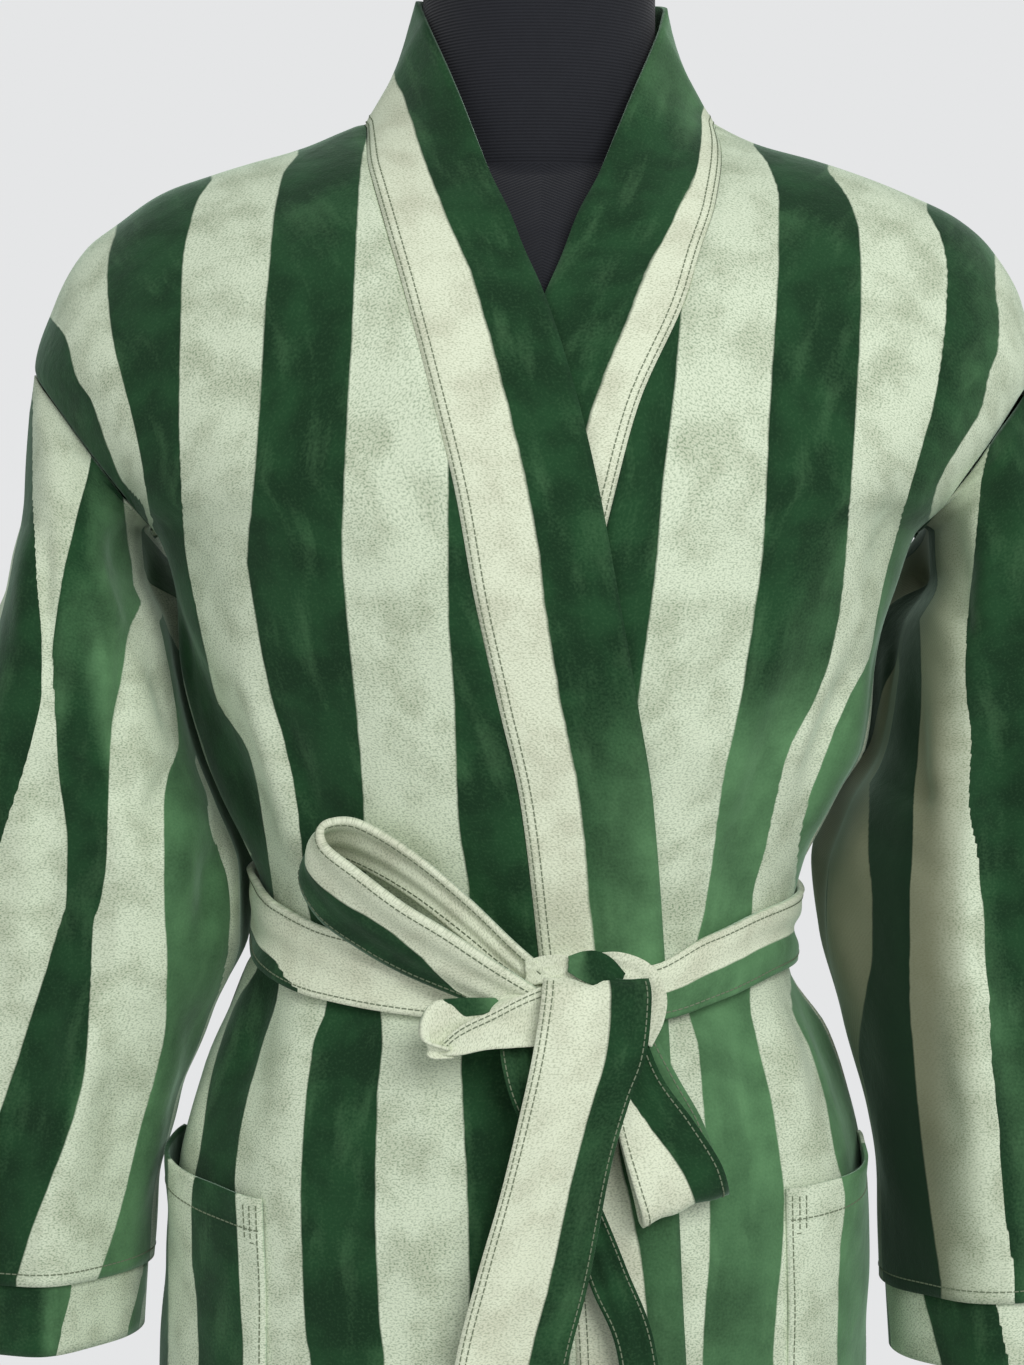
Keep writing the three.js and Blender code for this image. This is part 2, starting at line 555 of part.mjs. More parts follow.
// The back panel from the left side seam or armhole to the right one, up to the ridge of
// the shoulders and the back of the neck.
function backPanel() {
  const rows = LOWER_ROWS.map((z) => backRow(z, { turn: Math.PI, z }, { turn: 0, z }, 0));
  for (let k = 1; k <= ARMHOLE_STEPS; k += 1) {
    const fan = k / ARMHOLE_STEPS;
    const middle = mix(UNDERARM_Z, BACK_NECK_Z, fan ** BACK_FAN_RISE);
    rows.push(backRow(middle, armholeAt(k, true, true), armholeAt(k, false, true), fan));
  }
  return clothWall(rows, CLOTH_WALL);
}

function backRow(middleZ, leftEdge, rightEdge, fan) {
  const row = [];
  const blend = fan ** 3;
  for (let j = 0; j <= BACK_COLUMNS; j += 1) {
    const t = (2 * j) / BACK_COLUMNS - 1;
    const edge = t < 0 ? leftEdge : rightEdge;
    const ridge = t < 0 ? Math.PI : 0;
    const away = Math.abs(t);
    const edgeTurn = pulledBack(edge.turn, edge.z, t < 0 ? -1 : 1);
    const evenTurn = mix(Math.PI / 2, edgeTurn, away);
    const neck = Math.min(1, away / NECK_SHARE);
    const ridgeShare = Math.max(0, (away - NECK_SHARE) / (1 - NECK_SHARE));
    const topTurn = away < NECK_SHARE
      ? mix(Math.PI / 2, ridge, neck)
      : mix(ridge, edgeTurn, ridgeShare);
    const evenZ = mix(middleZ, edge.z, away ** BACK_FAN_BOW);
    const topZ = away < NECK_SHARE
      ? mix(middleZ, SHOULDER_NECK_Z, neck ** BACK_FAN_BOW)
      : mix(SHOULDER_NECK_Z, edge.z, ridgeShare ** SHOULDER_BOW);
    const turn = mix(evenTurn, topTurn, blend);
    const z = mix(evenZ, topZ, blend);
    const reach = bodyPoint(turn, z);
    const clear = (SEAM_GAP / 2) / Math.hypot(reach.x, reach.y);
    row.push(onBody(Math.min(Math.PI - clear, Math.max(clear, turn)), z));
  }
  return row;
}

// The neckband as one strip: up the over-front, round the neck and down the under-front.
function neckband() {
  const rows = [];
  const heights = [...LOWER_ROWS, ...UPPER_ROWS];
  const side = (edges, stands, leftSide) => heights.map((z, k) => {
    const seamX = through(edges, 'seam')(z);
    const freeX = through(edges, 'free')(z);
    const fan = Math.max(0, k - LOWER_ROWS.length + 1) / ARMHOLE_STEPS;
    const inward = leftSide ? 1 : -1;
    const seam = pulledBack(seamAt(seamX, z, leftSide, fan), z, inward);
    const lap = leftSide ? LAP_RISE : 0;
    const start = onBody(seam, z, leftSide ? lapAt(seam) : 0).point;
    const stand = stands.find((row) => row.seamZ === z);
    const free = frontTurn(bodySection(z), freeX);
    return Array.from({ length: BAND_COLUMNS + 1 }, (_, j) => {
      const t = j / BAND_COLUMNS;
      if (stand) return start.clone().lerp(new THREE.Vector3(stand.x, stand.y, stand.z), t);
      return onBody(mix(seam, free, t), z, lap).point;
    });
  });
  rows.push(...side(OVER_EDGE, BAND_STANDS_LEFT, true));
  for (const { turn, x, y, z } of BAND_ROUND_BACK) {
    const seamZ = mix(SHOULDER_NECK_Z, BACK_NECK_Z, 1 - ((turn - 90) / 90) ** 2);
    const start = onBody(turn * DEGREE, seamZ).point;
    start.z += 2 * SEAM_GAP;
    rows.push(Array.from({ length: BAND_COLUMNS + 1 }, (_, j) => start.clone()
      .lerp(new THREE.Vector3(x, y, z), j / BAND_COLUMNS)));
  }
  rows.push(...side(UNDER_EDGE, BAND_STANDS_RIGHT, false).reverse());
  return clothWall(withNormals(rows), CLOTH_WALL);
}

// A sleeve: its first ring is the armhole seam, the others stand round its two lines.
function sleeveRings(table, leftSide) {
  const count = 2 * ARMHOLE_STEPS;
  const seam = Array.from({ length: count }, (_, j) => {
    const backHalf = j > ARMHOLE_STEPS;
    const step = backHalf ? j - ARMHOLE_STEPS : ARMHOLE_STEPS - j;
    const { turn, z } = armholeAt(step, leftSide, backHalf);
    return bodyPoint(turn, z);
  });
  const rings = table.map((row, k) => {
    const deepness = smooth(0, SLEEVE_FOLD_RINGS, k) * SLEEVE_FOLD_DEPTH;
    const { from, full, fade, end } = SLEEVE_TUCK_RINGS;
    const tuckHere = SLEEVE_TUCK * smooth(from, full, k) * smooth(end, fade, k);
    return Array.from({ length: count }, (_, j) => {
      const around = (2 * Math.PI * j) / count;
      const c = Math.cos(around);
      const s = Math.sin(around);
      const wave = Math.cos(SLEEVE_FOLDS * around + SLEEVE_FOLD_START + SLEEVE_FOLD_DRIFT * k);
      const there = smooth(SLEEVE_FOLD_SIDE.none, SLEEVE_FOLD_SIDE.full, c);
      const fold = 1 + (deepness * there * wave) / row.front;
      const x = mix(row.inX, row.outX, (1 + c) / 2);
      const z = mix(row.inZ, row.outZ, (1 + c) / 2);
      const middleX = (row.inX + row.outX) / 2;
      const depth = s > 0 ? -row.front * s : -row.back * s;
      const tuck = tuckHere * smooth(SLEEVE_TUCK_BACK.from, SLEEVE_TUCK_BACK.full, -s)
        * smooth(SLEEVE_TUCK_INNER.from, SLEEVE_TUCK_INNER.full, c);
      const tucked = middleX + (x - middleX) * fold + (leftSide ? tuck : -tuck);
      return new THREE.Vector3(tucked, row.mid + depth * fold, z);
    });
  });
  return { seam, rings };
}

function sleeve(table, leftSide) {
  const { seam, rings } = sleeveRings(table, leftSide);
  const flip = leftSide ? -1 : 1;
  const rows = withNormals([seam, ...rings], true, flip);
  rows[0] = rows[0].map(({ point }, j) => {
    const away = rings[0][j].clone().sub(point).normalize();
    const backHalf = j > ARMHOLE_STEPS;
    const step = backHalf ? j - ARMHOLE_STEPS : ARMHOLE_STEPS - j;
    const { turn, z } = armholeAt(step, leftSide, backHalf);
    return { point: point.clone().addScaledVector(away, SEAM_GAP), normal: bodyNormal(turn, z) };
  });
  return clothWall(rows, CLOTH_WALL, true);
}

// The cuff band set inside a sleeve's hem, showing below it.
function cuff(table, leftSide) {
  const { rings } = sleeveRings(table, leftSide);
  const hem = rings[rings.length - 1];
  const flip = leftSide ? -1 : 1;
  const levels = [CUFF_TUCK, 0, -CUFF_SHOWS / 2, -CUFF_SHOWS];
  const normals = withNormals(rings, true, flip)[rings.length - 1];
  const rows = levels.map((rise) => hem.map((point, j) => {
    const narrow = CUFF_INSET - CUFF_TAPER * Math.min(0, rise);
    const moved = point.clone().addScaledVector(normals[j].normal, -narrow);
    return moved.setZ(point.z + rise);
  }));
  return clothWall(withNormals(rows, true, flip), CLOTH_WALL, true);
}

// The belt round the waist, closed behind the knot.
function beltWaist() {
  const middle = through(BELT_LINE, 'z', 'turn');
  const height = through(BELT_LINE, 'height', 'turn');
  const rows = BELT_LEVELS.map((share) => Array.from({ length: BELT_STEPS }, (_, j) => {
    const degrees = (360 * j) / BELT_STEPS;
    const z = middle(degrees) + height(degrees) * share;
    const belly = BELT_BELLY * (1 - 4 * share * share);
    const { from, full, last, to } = BELT_ON_LAP;
    const off = LAP_RISE * smooth(from, full, degrees) * smooth(to, last, degrees);
    return onBody(degrees * DEGREE, z, off + BELT_GAP + BELT_WALL + belly);
  }));
  return clothWall(rows, BELT_WALL, true);
}

// A pocket sewn on a front near the side seam, its slanted opening standing away.
function pocket(row, leftSide) {
  const inner = frontTurn(bodySection(row.bottomZ), row.innerX);
  const outer = row.outerTurn * DEGREE;
  const grid = [];
  for (let i = 0; i <= POCKET_ROWS; i += 1) {
    const up = i / POCKET_ROWS;
    grid.push(Array.from({ length: POCKET_COLUMNS + 1 }, (_, j) => {
      const across = j / POCKET_COLUMNS;
      const top = mix(row.innerZ, row.outerZ, across ** POCKET_MOUTH_BOW);
      const z = mix(row.bottomZ, top, up);
      const innerNow = frontTurn(bodySection(z), row.innerX);
      const turn = mix(mix(inner, innerNow, up), outer, across);
      const gape = POCKET_GAPE * up ** POCKET_GAPE_POWER * Math.sin(Math.PI * across);
      const lap = leftSide ? lapAt(turn) : 0;
      return onBody(turn, z, lap + POCKET_GAP + CLOTH_WALL + gape);
    }));
  }
  return clothWall(grid, CLOTH_WALL);
}

// A strip of the bow from its table of edge points.
function strip(table, wall, steps = STRIP_STEPS) {
  const curveOf = (edge) => new THREE.CatmullRomCurve3(
    table.map((row) => new THREE.Vector3(row[`${edge}X`], row[`${edge}Y`], row[`${edge}Z`])));
  const low = curveOf('low');
  const high = curveOf('high');
  const grid = [];
  for (let i = 0; i <= steps; i += 1) {
    const from = low.getPoint(i / steps);
    const to = high.getPoint(i / steps);
    grid.push([0, 0.5, 1].map((t) => from.clone().lerp(to, t)));
  }
  return clothWall(withNormals(grid), wall);
}

const wasm = await Module();
wasm.setup();

function solidOf(geometry) {
  const bare = geometry.clone();
  bare.deleteAttribute('normal');
  bare.deleteAttribute('uv');
  const merged = mergeVertices(bare, 1e-3);
  return new wasm.Manifold(new wasm.Mesh({
    numProp: 3,
    vertProperties: new Float32Array(merged.attributes.position.array),
    triVerts: new Uint32Array(merged.index.array),
  }));
}

function geometryOf(solid) {
  const mesh = solid.getMesh();
  const geometry = new THREE.BufferGeometry();
  geometry.setAttribute('position', new THREE.BufferAttribute(mesh.vertProperties, mesh.numProp));
  geometry.setIndex(new THREE.BufferAttribute(mesh.triVerts, 1));
  geometry.computeVertexNormals();
  return geometry;
}

// The wrapped knot, a rounded lump of folded belt; grown, it cuts its seat in the strips.
function knot(grow = 0) {
  const ball = new THREE.SphereGeometry(1, 18, 10);
  const spot = ball.attributes.position;
  for (let k = 0; k < spot.count; k += 1) {
    const p = new THREE.Vector3().fromBufferAttribute(spot, k);
    const fuller = (v) => Math.sign(v) * Math.abs(v) ** KNOT_SQUARENESS;
    spot.setXYZ(k, fuller(p.x), fuller(p.y), fuller(p.z));
  }
  ball.scale(KNOT.halfX + grow, KNOT.halfY + grow, KNOT.halfZ + grow);
  ball.rotateY(-KNOT.tilt);
  ball.translate(KNOT.x, KNOT.y, KNOT.z);
  return ball;
}

function seatedAtKnot(geometry) {
  return geometryOf(solidOf(geometry).subtract(solidOf(knot(SEAM_GAP))));
}

// The form: hips, waist and chest from its own table, shoulders that follow the cloth that
// hangs on them from close underneath, and a neck that grows out of them.
function formPoint(turn, z) {
  const reach = (section) => Math.hypot(...sectionPoint({ ...section, ridge: 0 }, turn, 0).toArray());
  const own = formSection(z);
  const clear = turn > 0 && turn < Math.PI ? FORM_BACK_CLEARANCE : FORM_CLEARANCE;
  const cloth = reach(bodySection(z + clear)) - clear;
  const shoulder = z + FORM_CLEARANCE > SHOULDER_NECK_Z ? 0 : Math.min(reach(own), cloth);
  const neck = z > NECK_FOOT_Z ? reach(NECK) : 0;
  const radius = Math.max(shoulder, neck);
  return new THREE.Vector3(radius * Math.cos(turn), own.ridge + radius * Math.sin(turn), z);
}

const FORM_ROWS = [
  FORM_BOTTOM_Z, 700, 735, 800, 850, 890, 930, 965, 1000, 1040, 1085, 1130, 1172, 1215, 1258, 1295,
  1322, 1338, 1348, 1356, 1364, 1372, 1380, 1388, 1400, 1430, NECK_TOP_Z,
];

function formTorso() {
  const positions = [];
  const faces = [];
  for (const z of FORM_ROWS) {
    for (let j = 0; j < FORM_SIDES; j += 1) {
      positions.push(...formPoint((2 * Math.PI * j) / FORM_SIDES, z).toArray());
    }
  }
  const at = (i, j) => i * FORM_SIDES + (j % FORM_SIDES);
  const last = FORM_ROWS.length - 1;
  for (let i = 0; i < last; i += 1) {
    for (let j = 0; j < FORM_SIDES; j += 1) {
      faces.push(at(i, j), at(i, j + 1), at(i + 1, j + 1), at(i, j), at(i + 1, j + 1), at(i + 1, j));
    }
  }
  for (let j = 1; j < FORM_SIDES - 1; j += 1) {
    faces.push(at(0, 0), at(0, j + 1), at(0, j), at(last, 0), at(last, j), at(last, j + 1));
  }
  return outward(positions, faces);
}

// A turned piece from a profile of radius and height rows, standing on Z.
function turned(profile, sides = ROUND_SIDES) {
  const geometry = new THREE.LatheGeometry(profile.map(([r, z]) => new THREE.Vector2(r, z)), sides);
  return geometry.rotateX(Math.PI / 2);
}

function roundBase() {
  return turned([
    [0, 0], [BASE_RADIUS, 0], [BASE_RADIUS, BASE_RIM], [BASE_RADIUS - BASE_RIM, BASE_THICK],
    [HUB_RADIUS, BASE_THICK + HUB_EDGE], [HUB_RADIUS, HUB_TOP_Z - HUB_EDGE],
    [HUB_RADIUS - HUB_EDGE, HUB_TOP_Z], [0, HUB_TOP_Z],
  ]);
}

function pole() {
  const low = HUB_TOP_Z + SEAM_GAP;
  const high = FORM_BOTTOM_Z - SEAM_GAP;
  return turned([[0, low], [POLE_RADIUS, low], [POLE_RADIUS, high], [0, high]], POLE_SIDES);
}

function neckCap() {
  const low = NECK_TOP_Z + SEAM_GAP;
  const high = low + NECK_CAP_THICK;
  const cap = turned([
    [0, low], [NECK_CAP_RADIUS, low], [NECK_CAP_TOP_RADIUS, high], [0, high],
  ], POLE_SIDES);
  return cap.translate(NECK_CAP_X, NECK_CAP_Y, 0);
}

const velvet = new THREE.MeshStandardMaterial({ color: VELVET_GREEN, roughness: 0.9, metalness: 0 });
const heather = new THREE.MeshStandardMaterial({ color: HEATHER_CREAM, roughness: 0.95, metalness: 0 });
const jersey = new THREE.MeshStandardMaterial({ color: FORM_BLACK, roughness: 0.9, metalness: 0 });
const lacquer = new THREE.MeshStandardMaterial({ color: STAND_BLACK, roughness: 0.4, metalness: 0.6 });

const robe = new THREE.Group();
const add = (name, geometry, material) => {
  const mesh = new THREE.Mesh(geometry, material.clone());
  mesh.name = name;
  robe.add(mesh);
};

add('form_base', roundBase(), lacquer);
add('form_pole', pole(), lacquer);
add('form_torso', formTorso(), jersey);
add('form_neck_cap', neckCap(), lacquer);
add('robe_back', backPanel(), velvet);
add('robe_front_over', frontPanel(OVER_EDGE, true), velvet);
add('robe_front_under', frontPanel(UNDER_EDGE, false), heather);
add('neckband', neckband(), heather);
add('sleeve_left', sleeve(SLEEVE_LEFT, true), velvet);
add('sleeve_right', sleeve(SLEEVE_RIGHT, false), velvet);
add('cuff_left', cuff(SLEEVE_LEFT, true), heather);
add('cuff_right', cuff(SLEEVE_RIGHT, false), heather);
add('pocket_left', pocket(POCKET_LEFT, true), heather);
add('pocket_right', pocket(POCKET_RIGHT, false), heather);
add('belt_waist', beltWaist(), heather);
add('belt_knot', knot(), heather);
add('belt_loop_upper', seatedAtKnot(strip(UPPER_LOOP, BELT_WALL)), heather);
add('belt_loop_lower', seatedAtKnot(strip(LOWER_LOOP, BELT_WALL)), velvet);
add('belt_tail_front', seatedAtKnot(strip(FRONT_TAIL, BELT_WALL)), heather);
add('belt_tail_rear', seatedAtKnot(strip(REAR_TAIL, REAR_TAIL_WALL)), velvet);

export default robe;
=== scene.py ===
"""A striped velvet kimono robe, wrapped and belted on a limbless dress form.

The tables hold millimetres, and the pieces are made in metres in the part's own frame:
+Z is up, the robe's front faces -Y and +X is the viewer's right. A turn goes round the
pole: 0 is the viewer's right, 90 the back, 180 the left and 270 the front. What lies in
view is measured in the photograph's 1024 x 1365 pixels, named px here.
"""

import logging
import math
from dataclasses import dataclass
from enum import Enum

import bpy
import numpy as np
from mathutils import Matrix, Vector


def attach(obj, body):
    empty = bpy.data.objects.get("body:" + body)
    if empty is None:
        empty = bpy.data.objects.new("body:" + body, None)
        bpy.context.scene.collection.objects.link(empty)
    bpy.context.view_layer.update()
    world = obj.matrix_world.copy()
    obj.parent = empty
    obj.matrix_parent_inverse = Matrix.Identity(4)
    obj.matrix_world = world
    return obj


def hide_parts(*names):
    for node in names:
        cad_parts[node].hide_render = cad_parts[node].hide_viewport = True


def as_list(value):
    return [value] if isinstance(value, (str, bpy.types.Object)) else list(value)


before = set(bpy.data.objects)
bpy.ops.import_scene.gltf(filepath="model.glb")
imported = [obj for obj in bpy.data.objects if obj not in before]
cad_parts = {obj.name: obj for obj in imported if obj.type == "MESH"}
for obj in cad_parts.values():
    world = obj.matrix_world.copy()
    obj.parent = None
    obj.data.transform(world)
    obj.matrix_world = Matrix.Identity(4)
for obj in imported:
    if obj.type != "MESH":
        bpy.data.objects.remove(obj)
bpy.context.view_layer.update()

MM = 0.001
BODY = "root"
CLOTH_SLOT = "velvet_stripe"
FORM_SLOT = "form_cover"
STAND_SLOT = "stand_metal"
log = logging.getLogger("robe")

Array = np.ndarray
Pairs = tuple[tuple[float, float], ...]
Triple = tuple[float, float, float]
Piece = bpy.types.Object
Material = bpy.types.Material
Socket = bpy.types.NodeSocket


class Side(Enum):
    """The viewer's left and right, with the sign of X."""

    LEFT = -1
    RIGHT = 1


class Chart(Enum):
    """What a crease's points are measured in: photo pixels, or turn and height."""

    PHOTO = "px"
    ROUND = "turn"


def smooth(low: float, high: float, value: Array | float) -> Array:
    """Return a soft step from 0 at low to 1 at high."""
    t = np.clip((np.asarray(value, float) - low) / (high - low), 0, 1)
    return t * t * (3 - 2 * t)


def mix(a: Array | float, b: Array | float, t: Array | float) -> Array:
    """Return a at t = 0 and b at t = 1."""
    return a + (b - a) * t


def through(xs: Array, ys: Array, at: Array | float) -> Array:
    """Return the smooth curve through a table's rows, which never overshoots them.

    Args:
        xs: The rows' places, rising.
        ys: The rows' values.
        at: The places to read.

    Returns:
        The values there, held beyond both ends.
    """
    xs, ys = np.asarray(xs, float), np.asarray(ys, float)
    slopes = np.diff(ys) / np.diff(xs)
    total = slopes[:-1] + slopes[1:]
    product = slopes[:-1] * slopes[1:]
    inner = np.where(product > 0, 2 * product / np.where(product > 0, total, 1), 0)
    tangents = np.concatenate([slopes[:1], inner, slopes[-1:]])
    at = np.clip(np.asarray(at, float), xs[0], xs[-1])
    i = np.clip(np.searchsorted(xs, at, side="right") - 1, 0, len(xs) - 2)
    h = xs[i + 1] - xs[i]
    t = (at - xs[i]) / h
    held = (1 + 2 * t) * (1 - t) ** 2 * ys[i] + t * t * (3 - 2 * t) * ys[i + 1]
    return held + h * (t * (1 - t) ** 2 * tangents[i] - t * t * (1 - t) * tangents[i + 1])


def unit(vectors: Array) -> Array:
    """Return vectors with a length of one."""
    return vectors / np.maximum(np.linalg.norm(vectors, axis=-1, keepdims=True), 1e-9)


def distance(points: Array, others: Array) -> Array:
    """Return how far points lie from others."""
    return np.linalg.norm(points - others, axis=-1)


def lengths_along(points: Array) -> Array:
    """Return how far each point lies along the line through the points."""
    return np.concatenate([[0.0], np.cumsum(distance(points[1:], points[:-1]))])


def at_lengths(at: Array | float, marks: Array, rows: Array) -> Array:
    """Return the rows' vectors at places between their marks."""
    return np.stack([np.interp(at, marks, rows[:, k]) for k in range(3)], -1)


@dataclass(frozen=True)
class PhotoView:
    """The photograph's camera: it looks level along +Y.

    The scale is the size of a pixel at the chest, where depth is the way from the eye.
    """

    eye_x: float = -10.0
    eye_y: float = -1600.0
    eye_z: float = 1094.0
    depth: float = 1500.0
    scale: float = 0.5
    width: int = 1024
    height: int = 1365
    sensor: float = 36.0

    def pixels(self, points: Array) -> Array:
        """Return where points in millimetres show, as px across and down."""
        size = self.scale * (points[..., 1] - self.eye_y) / self.depth
        across = self.width / 2 + (points[..., 0] - self.eye_x) / size
        down = self.height / 2 - (points[..., 2] - self.eye_z) / size
        return np.stack([across, down], axis=-1)

    def make_camera(self) -> None:
        """Create the scene's camera at the photograph's viewpoint."""
        data = bpy.data.cameras.new("photo_view")
        data.sensor_width = self.sensor
        data.lens = self.sensor * self.depth / (self.height * self.scale)
        data.clip_start = 0.05
        data.clip_end = 60
        camera = bpy.data.objects.new("photo_view", data)
        camera.location = Vector((self.eye_x, self.eye_y, self.eye_z)) * MM
        camera.rotation_euler = (math.pi / 2, 0, 0)
        bpy.context.scene.collection.objects.link(camera)
        bpy.context.scene.camera = camera


VIEW = PhotoView()


@dataclass(frozen=True)
class Crease:
    """A soft trough or ridge.

    The line's points are px or turn and height; a ridge has a positive depth.
    """

    TIP = 0.03
    line: Pairs
    width: float
    depth: float
    chart: Chart = Chart.PHOTO

    def press(self, places: Array, to_mm: tuple[float, float]) -> Array:
        """Return how far each place moves out along its normal.

        Args:
            places: The places in the line's own units.
            to_mm: Millimetres for each unit, across and down.

        Returns:
            The rise in millimetres.
        """
        scale = np.asarray(to_mm)
        spots = places * scale
        line = np.asarray(self.line, float) * scale
        marks = lengths_along(line)
        nearest = np.full(spots.shape[:-1], 1e9)
        where = np.zeros(spots.shape[:-1])
        for a, b, start, end in zip(line[:-1], line[1:], marks[:-1], marks[1:]):
            step = b - a
            t = np.clip(((spots - a) @ step) / (step @ step), 0, 1)
            away = np.linalg.norm(spots - a - t[..., None] * step, axis=-1)
            closer = away < nearest
            nearest = np.where(closer, away, nearest)
            where = np.where(closer, mix(start, end, t) / marks[-1], where)
        fade = np.sin(np.pi * np.clip(where, self.TIP, 1 - self.TIP)) ** 0.7
        return self.depth * fade * np.exp(-((nearest / self.width) ** 2))


@dataclass(frozen=True)
class StripeChart:
    """The edges of the lengthwise stripes on one piece of cloth, from the neckband out.

    Each edge is a line of px, top to bottom. Cream lies between edges 0 and 1, green
    between 1 and 2, and so on. A row of cloth counts on in true widths once it turns
    out of sight. On a tube only the longest run in sight is charted, with gaps of up to
    BRIDGED columns closed, and the count beyond it starts START of a stripe ahead,
    reached over START_LENGTH millimetres, so that the edge at the rim stays sharp.
    """

    LEAST_GAP = 0.7
    BRIDGED = 6
    START = 0.5
    START_LENGTH = 2.5
    START_FADE = 2.0
    edges: tuple[Pairs, ...]
    outward: int
    stripe: float = 50.0
    round_a_tube: bool = False

    def places(self, down: Array) -> Array:
        """Return where each edge lies across, at each height of px."""
        found = []
        for edge in self.edges:
            table = np.asarray(edge, float)
            found.append(through(table[:, 1], table[:, 0], down))
        return self.outward * np.stack(found)

    def count(self, px: Array, facing: Array, arc: Array) -> Array:
        """Return the stripe coordinate of one row of points, from the neckband out.

        Args:
            px: The points' places in the photograph.
            facing: Above zero where the point faces the camera.
            arc: How far each point lies along the row, in millimetres.

        Returns:
            The count, whose whole numbers are the stripes' edges.
        """
        edges = self.places(px[:, 1])
        edges = np.maximum.accumulate(edges + self.LEAST_GAP * np.arange(len(edges))[:, None], axis=0)
        across = self.outward * px[:, 0]
        last = len(edges) - 1
        size = VIEW.scale / self.stripe
        count = (across - edges[0]) * size
        for k in range(last):
            share = (across - edges[k]) / (edges[k + 1] - edges[k])
            count = np.where((across >= edges[k]) & (across < edges[k + 1]), k + share, count)
        count = np.where(across >= edges[last], last + (across - edges[last]) * size, count)
        if self.round_a_tube:
            charted = np.minimum(across - edges[0], edges[last] - across) * size
            facing = np.minimum(facing, charted)
        if not np.any(facing > 0):
            return count
        index = np.arange(len(px))
        found = count
        first_seen, last_seen = self.seen(facing > 0)
        for rim, step in ((last_seen, 1), (first_seen, -1)):
            next_one = min(max(rim + step, 0), len(px) - 1)
            t = facing[rim] / max(facing[rim] - facing[next_one], 1e-6)
            rim_count = mix(count[rim], count[next_one], t)
            if self.round_a_tube:
                rim_count = last if count[next_one] > last else max(rim_count, 0.0)
            further = arc - mix(arc[rim], arc[next_one], t)
            beyond = rim_count + further / self.stripe
            if self.round_a_tube:
                off = np.abs(further)
                start = self.START * (1 - np.exp(-off / self.START_LENGTH))
                beyond = beyond + step * (start * np.exp(-self.START_FADE * off / self.stripe))
            found = np.where((index - rim) * step > 0, beyond, found)
        return found

    def seen(self, visible: Array) -> tuple[int, int]:
        """Return the first and last visible point of a row, on a tube those of its longest run."""
        if not self.round_a_tube:
            places = np.flatnonzero(visible)
            return places[0], places[-1]
        changes = np.flatnonzero(np.diff(np.concatenate([[0], visible.astype(int), [0]])))
        starts, ends = changes[::2], changes[1::2] - 1
        apart = np.append(True, starts[1:] - ends[:-1] > self.BRIDGED)
        starts, ends = starts[apart], ends[np.append(apart[1:], True)]
        longest = np.argmax(ends - starts)
        return starts[longest], ends[longest]


@dataclass(frozen=True)
class Ring:
    """Half widths and depths of the cloth or the form at one height."""

    z: float
    left: float
    right: float
    front: float
    back: float
    ridge: float


def reach(sizes: tuple[Array, ...], turn: Array) -> Array:
    """Return a rounded section's radius at a turn from its half sizes left, right, front, back."""
    left, right, front, back = sizes
    c, s = np.cos(turn), np.sin(turn)
    wide = np.where(c < 0, left, right)
    deep = np.where(s < 0, front, back)
    power = (np.abs(c) / wide) ** Outline.ROUNDNESS + (np.abs(s) / deep) ** Outline.ROUNDNESS
    return power ** (-1 / Outline.ROUNDNESS)


class Outline:
    """A body given by rings of rounded sections."""

    ROUNDNESS = 2.2

    def __init__(self, rows: tuple[tuple[float, ...], ...]) -> None:
        """Read the rings' rows, which rise in height."""
        rings = [Ring(*row) for row in rows]
        self.z = [ring.z for ring in rings]
        self.columns = {
            key: [getattr(ring, key) for ring in rings]
            for key in ("left", "right", "front", "back", "ridge")
        }

    def size(self, key: str, z: Array | float) -> Array:
        """Return one of the sizes at a height."""
        return through(self.z, self.columns[key], z)

    def point(self, turn: Array, z: Array) -> Array:
        """Return the outline's point at a turn in radians and a height."""
        turn, z = np.broadcast_arrays(np.asarray(turn, float), np.asarray(z, float))
        radius = reach(self.sizes(z), turn)
        return np.stack([radius * np.cos(turn), self.size("ridge", z) + radius * np.sin(turn), z], axis=-1)

    def sizes(self, z: Array) -> tuple[Array, ...]:
        """Return the four half sizes at a height."""
        return tuple(self.size(key, z) for key in ("left", "right", "front", "back"))

    def front_turn(self, x: Array | float, z: Array | float) -> Array:
        """Return the turn at which the front passes a given X."""
        x = np.asarray(x, float)
        wide = np.where(x < 0, self.size("left", z), self.size("right", z))
        share = np.minimum(1, np.abs(x) / wide)
        y = self.size("front", z) * (1 - share**self.ROUNDNESS) ** (1 / self.ROUNDNESS)
        return np.arctan2(-y, x) % (2 * np.pi)


# Each row is a Ring.
BODY_RINGS = (
    (200, 214, 204, 158, 160, 0), (450, 206, 192, 151, 153, 0), (600, 200, 183, 147, 150, 0),
    (730, 195, 174, 143, 147, 0), (808, 189, 176, 141, 143, 0), (845, 187, 174, 138, 139, 0),
    (885, 176, 165, 130, 129, 0), (910, 167, 156, 121, 119, 0), (941, 153, 138, 111, 106, 0),
    (965, 143, 135, 108, 101, 0), (985, 143, 140, 110, 101, 0), (1007, 150, 149, 115, 104, 0),
    (1035, 162, 164, 121, 109, 0), (1060, 172, 178, 127, 113, 0), (1110, 185, 185, 137, 118, 0),
    (1143, 188, 193, 141, 120, 1), (1172, 198, 204, 142, 120, 2), (1190, 221, 227, 141, 119, 3),
    (1215, 245, 250, 137, 116, 4), (1240, 258, 262, 131, 113, 5), (1258, 264, 268, 126, 110, 5),
    (1295, 254, 261, 112, 104, 5), (1324, 237, 245, 94, 94, 5), (1340, 218, 228, 81, 86, 5),
    (1355, 193, 198, 67, 78, 5), (1370, 151, 156, 50, 68, 5), (1382, 114, 120, 34, 61, 5),
    (1393, 88, 98, 17, 57, 5), (1397, 82, 92, 10, 56, 5),
)

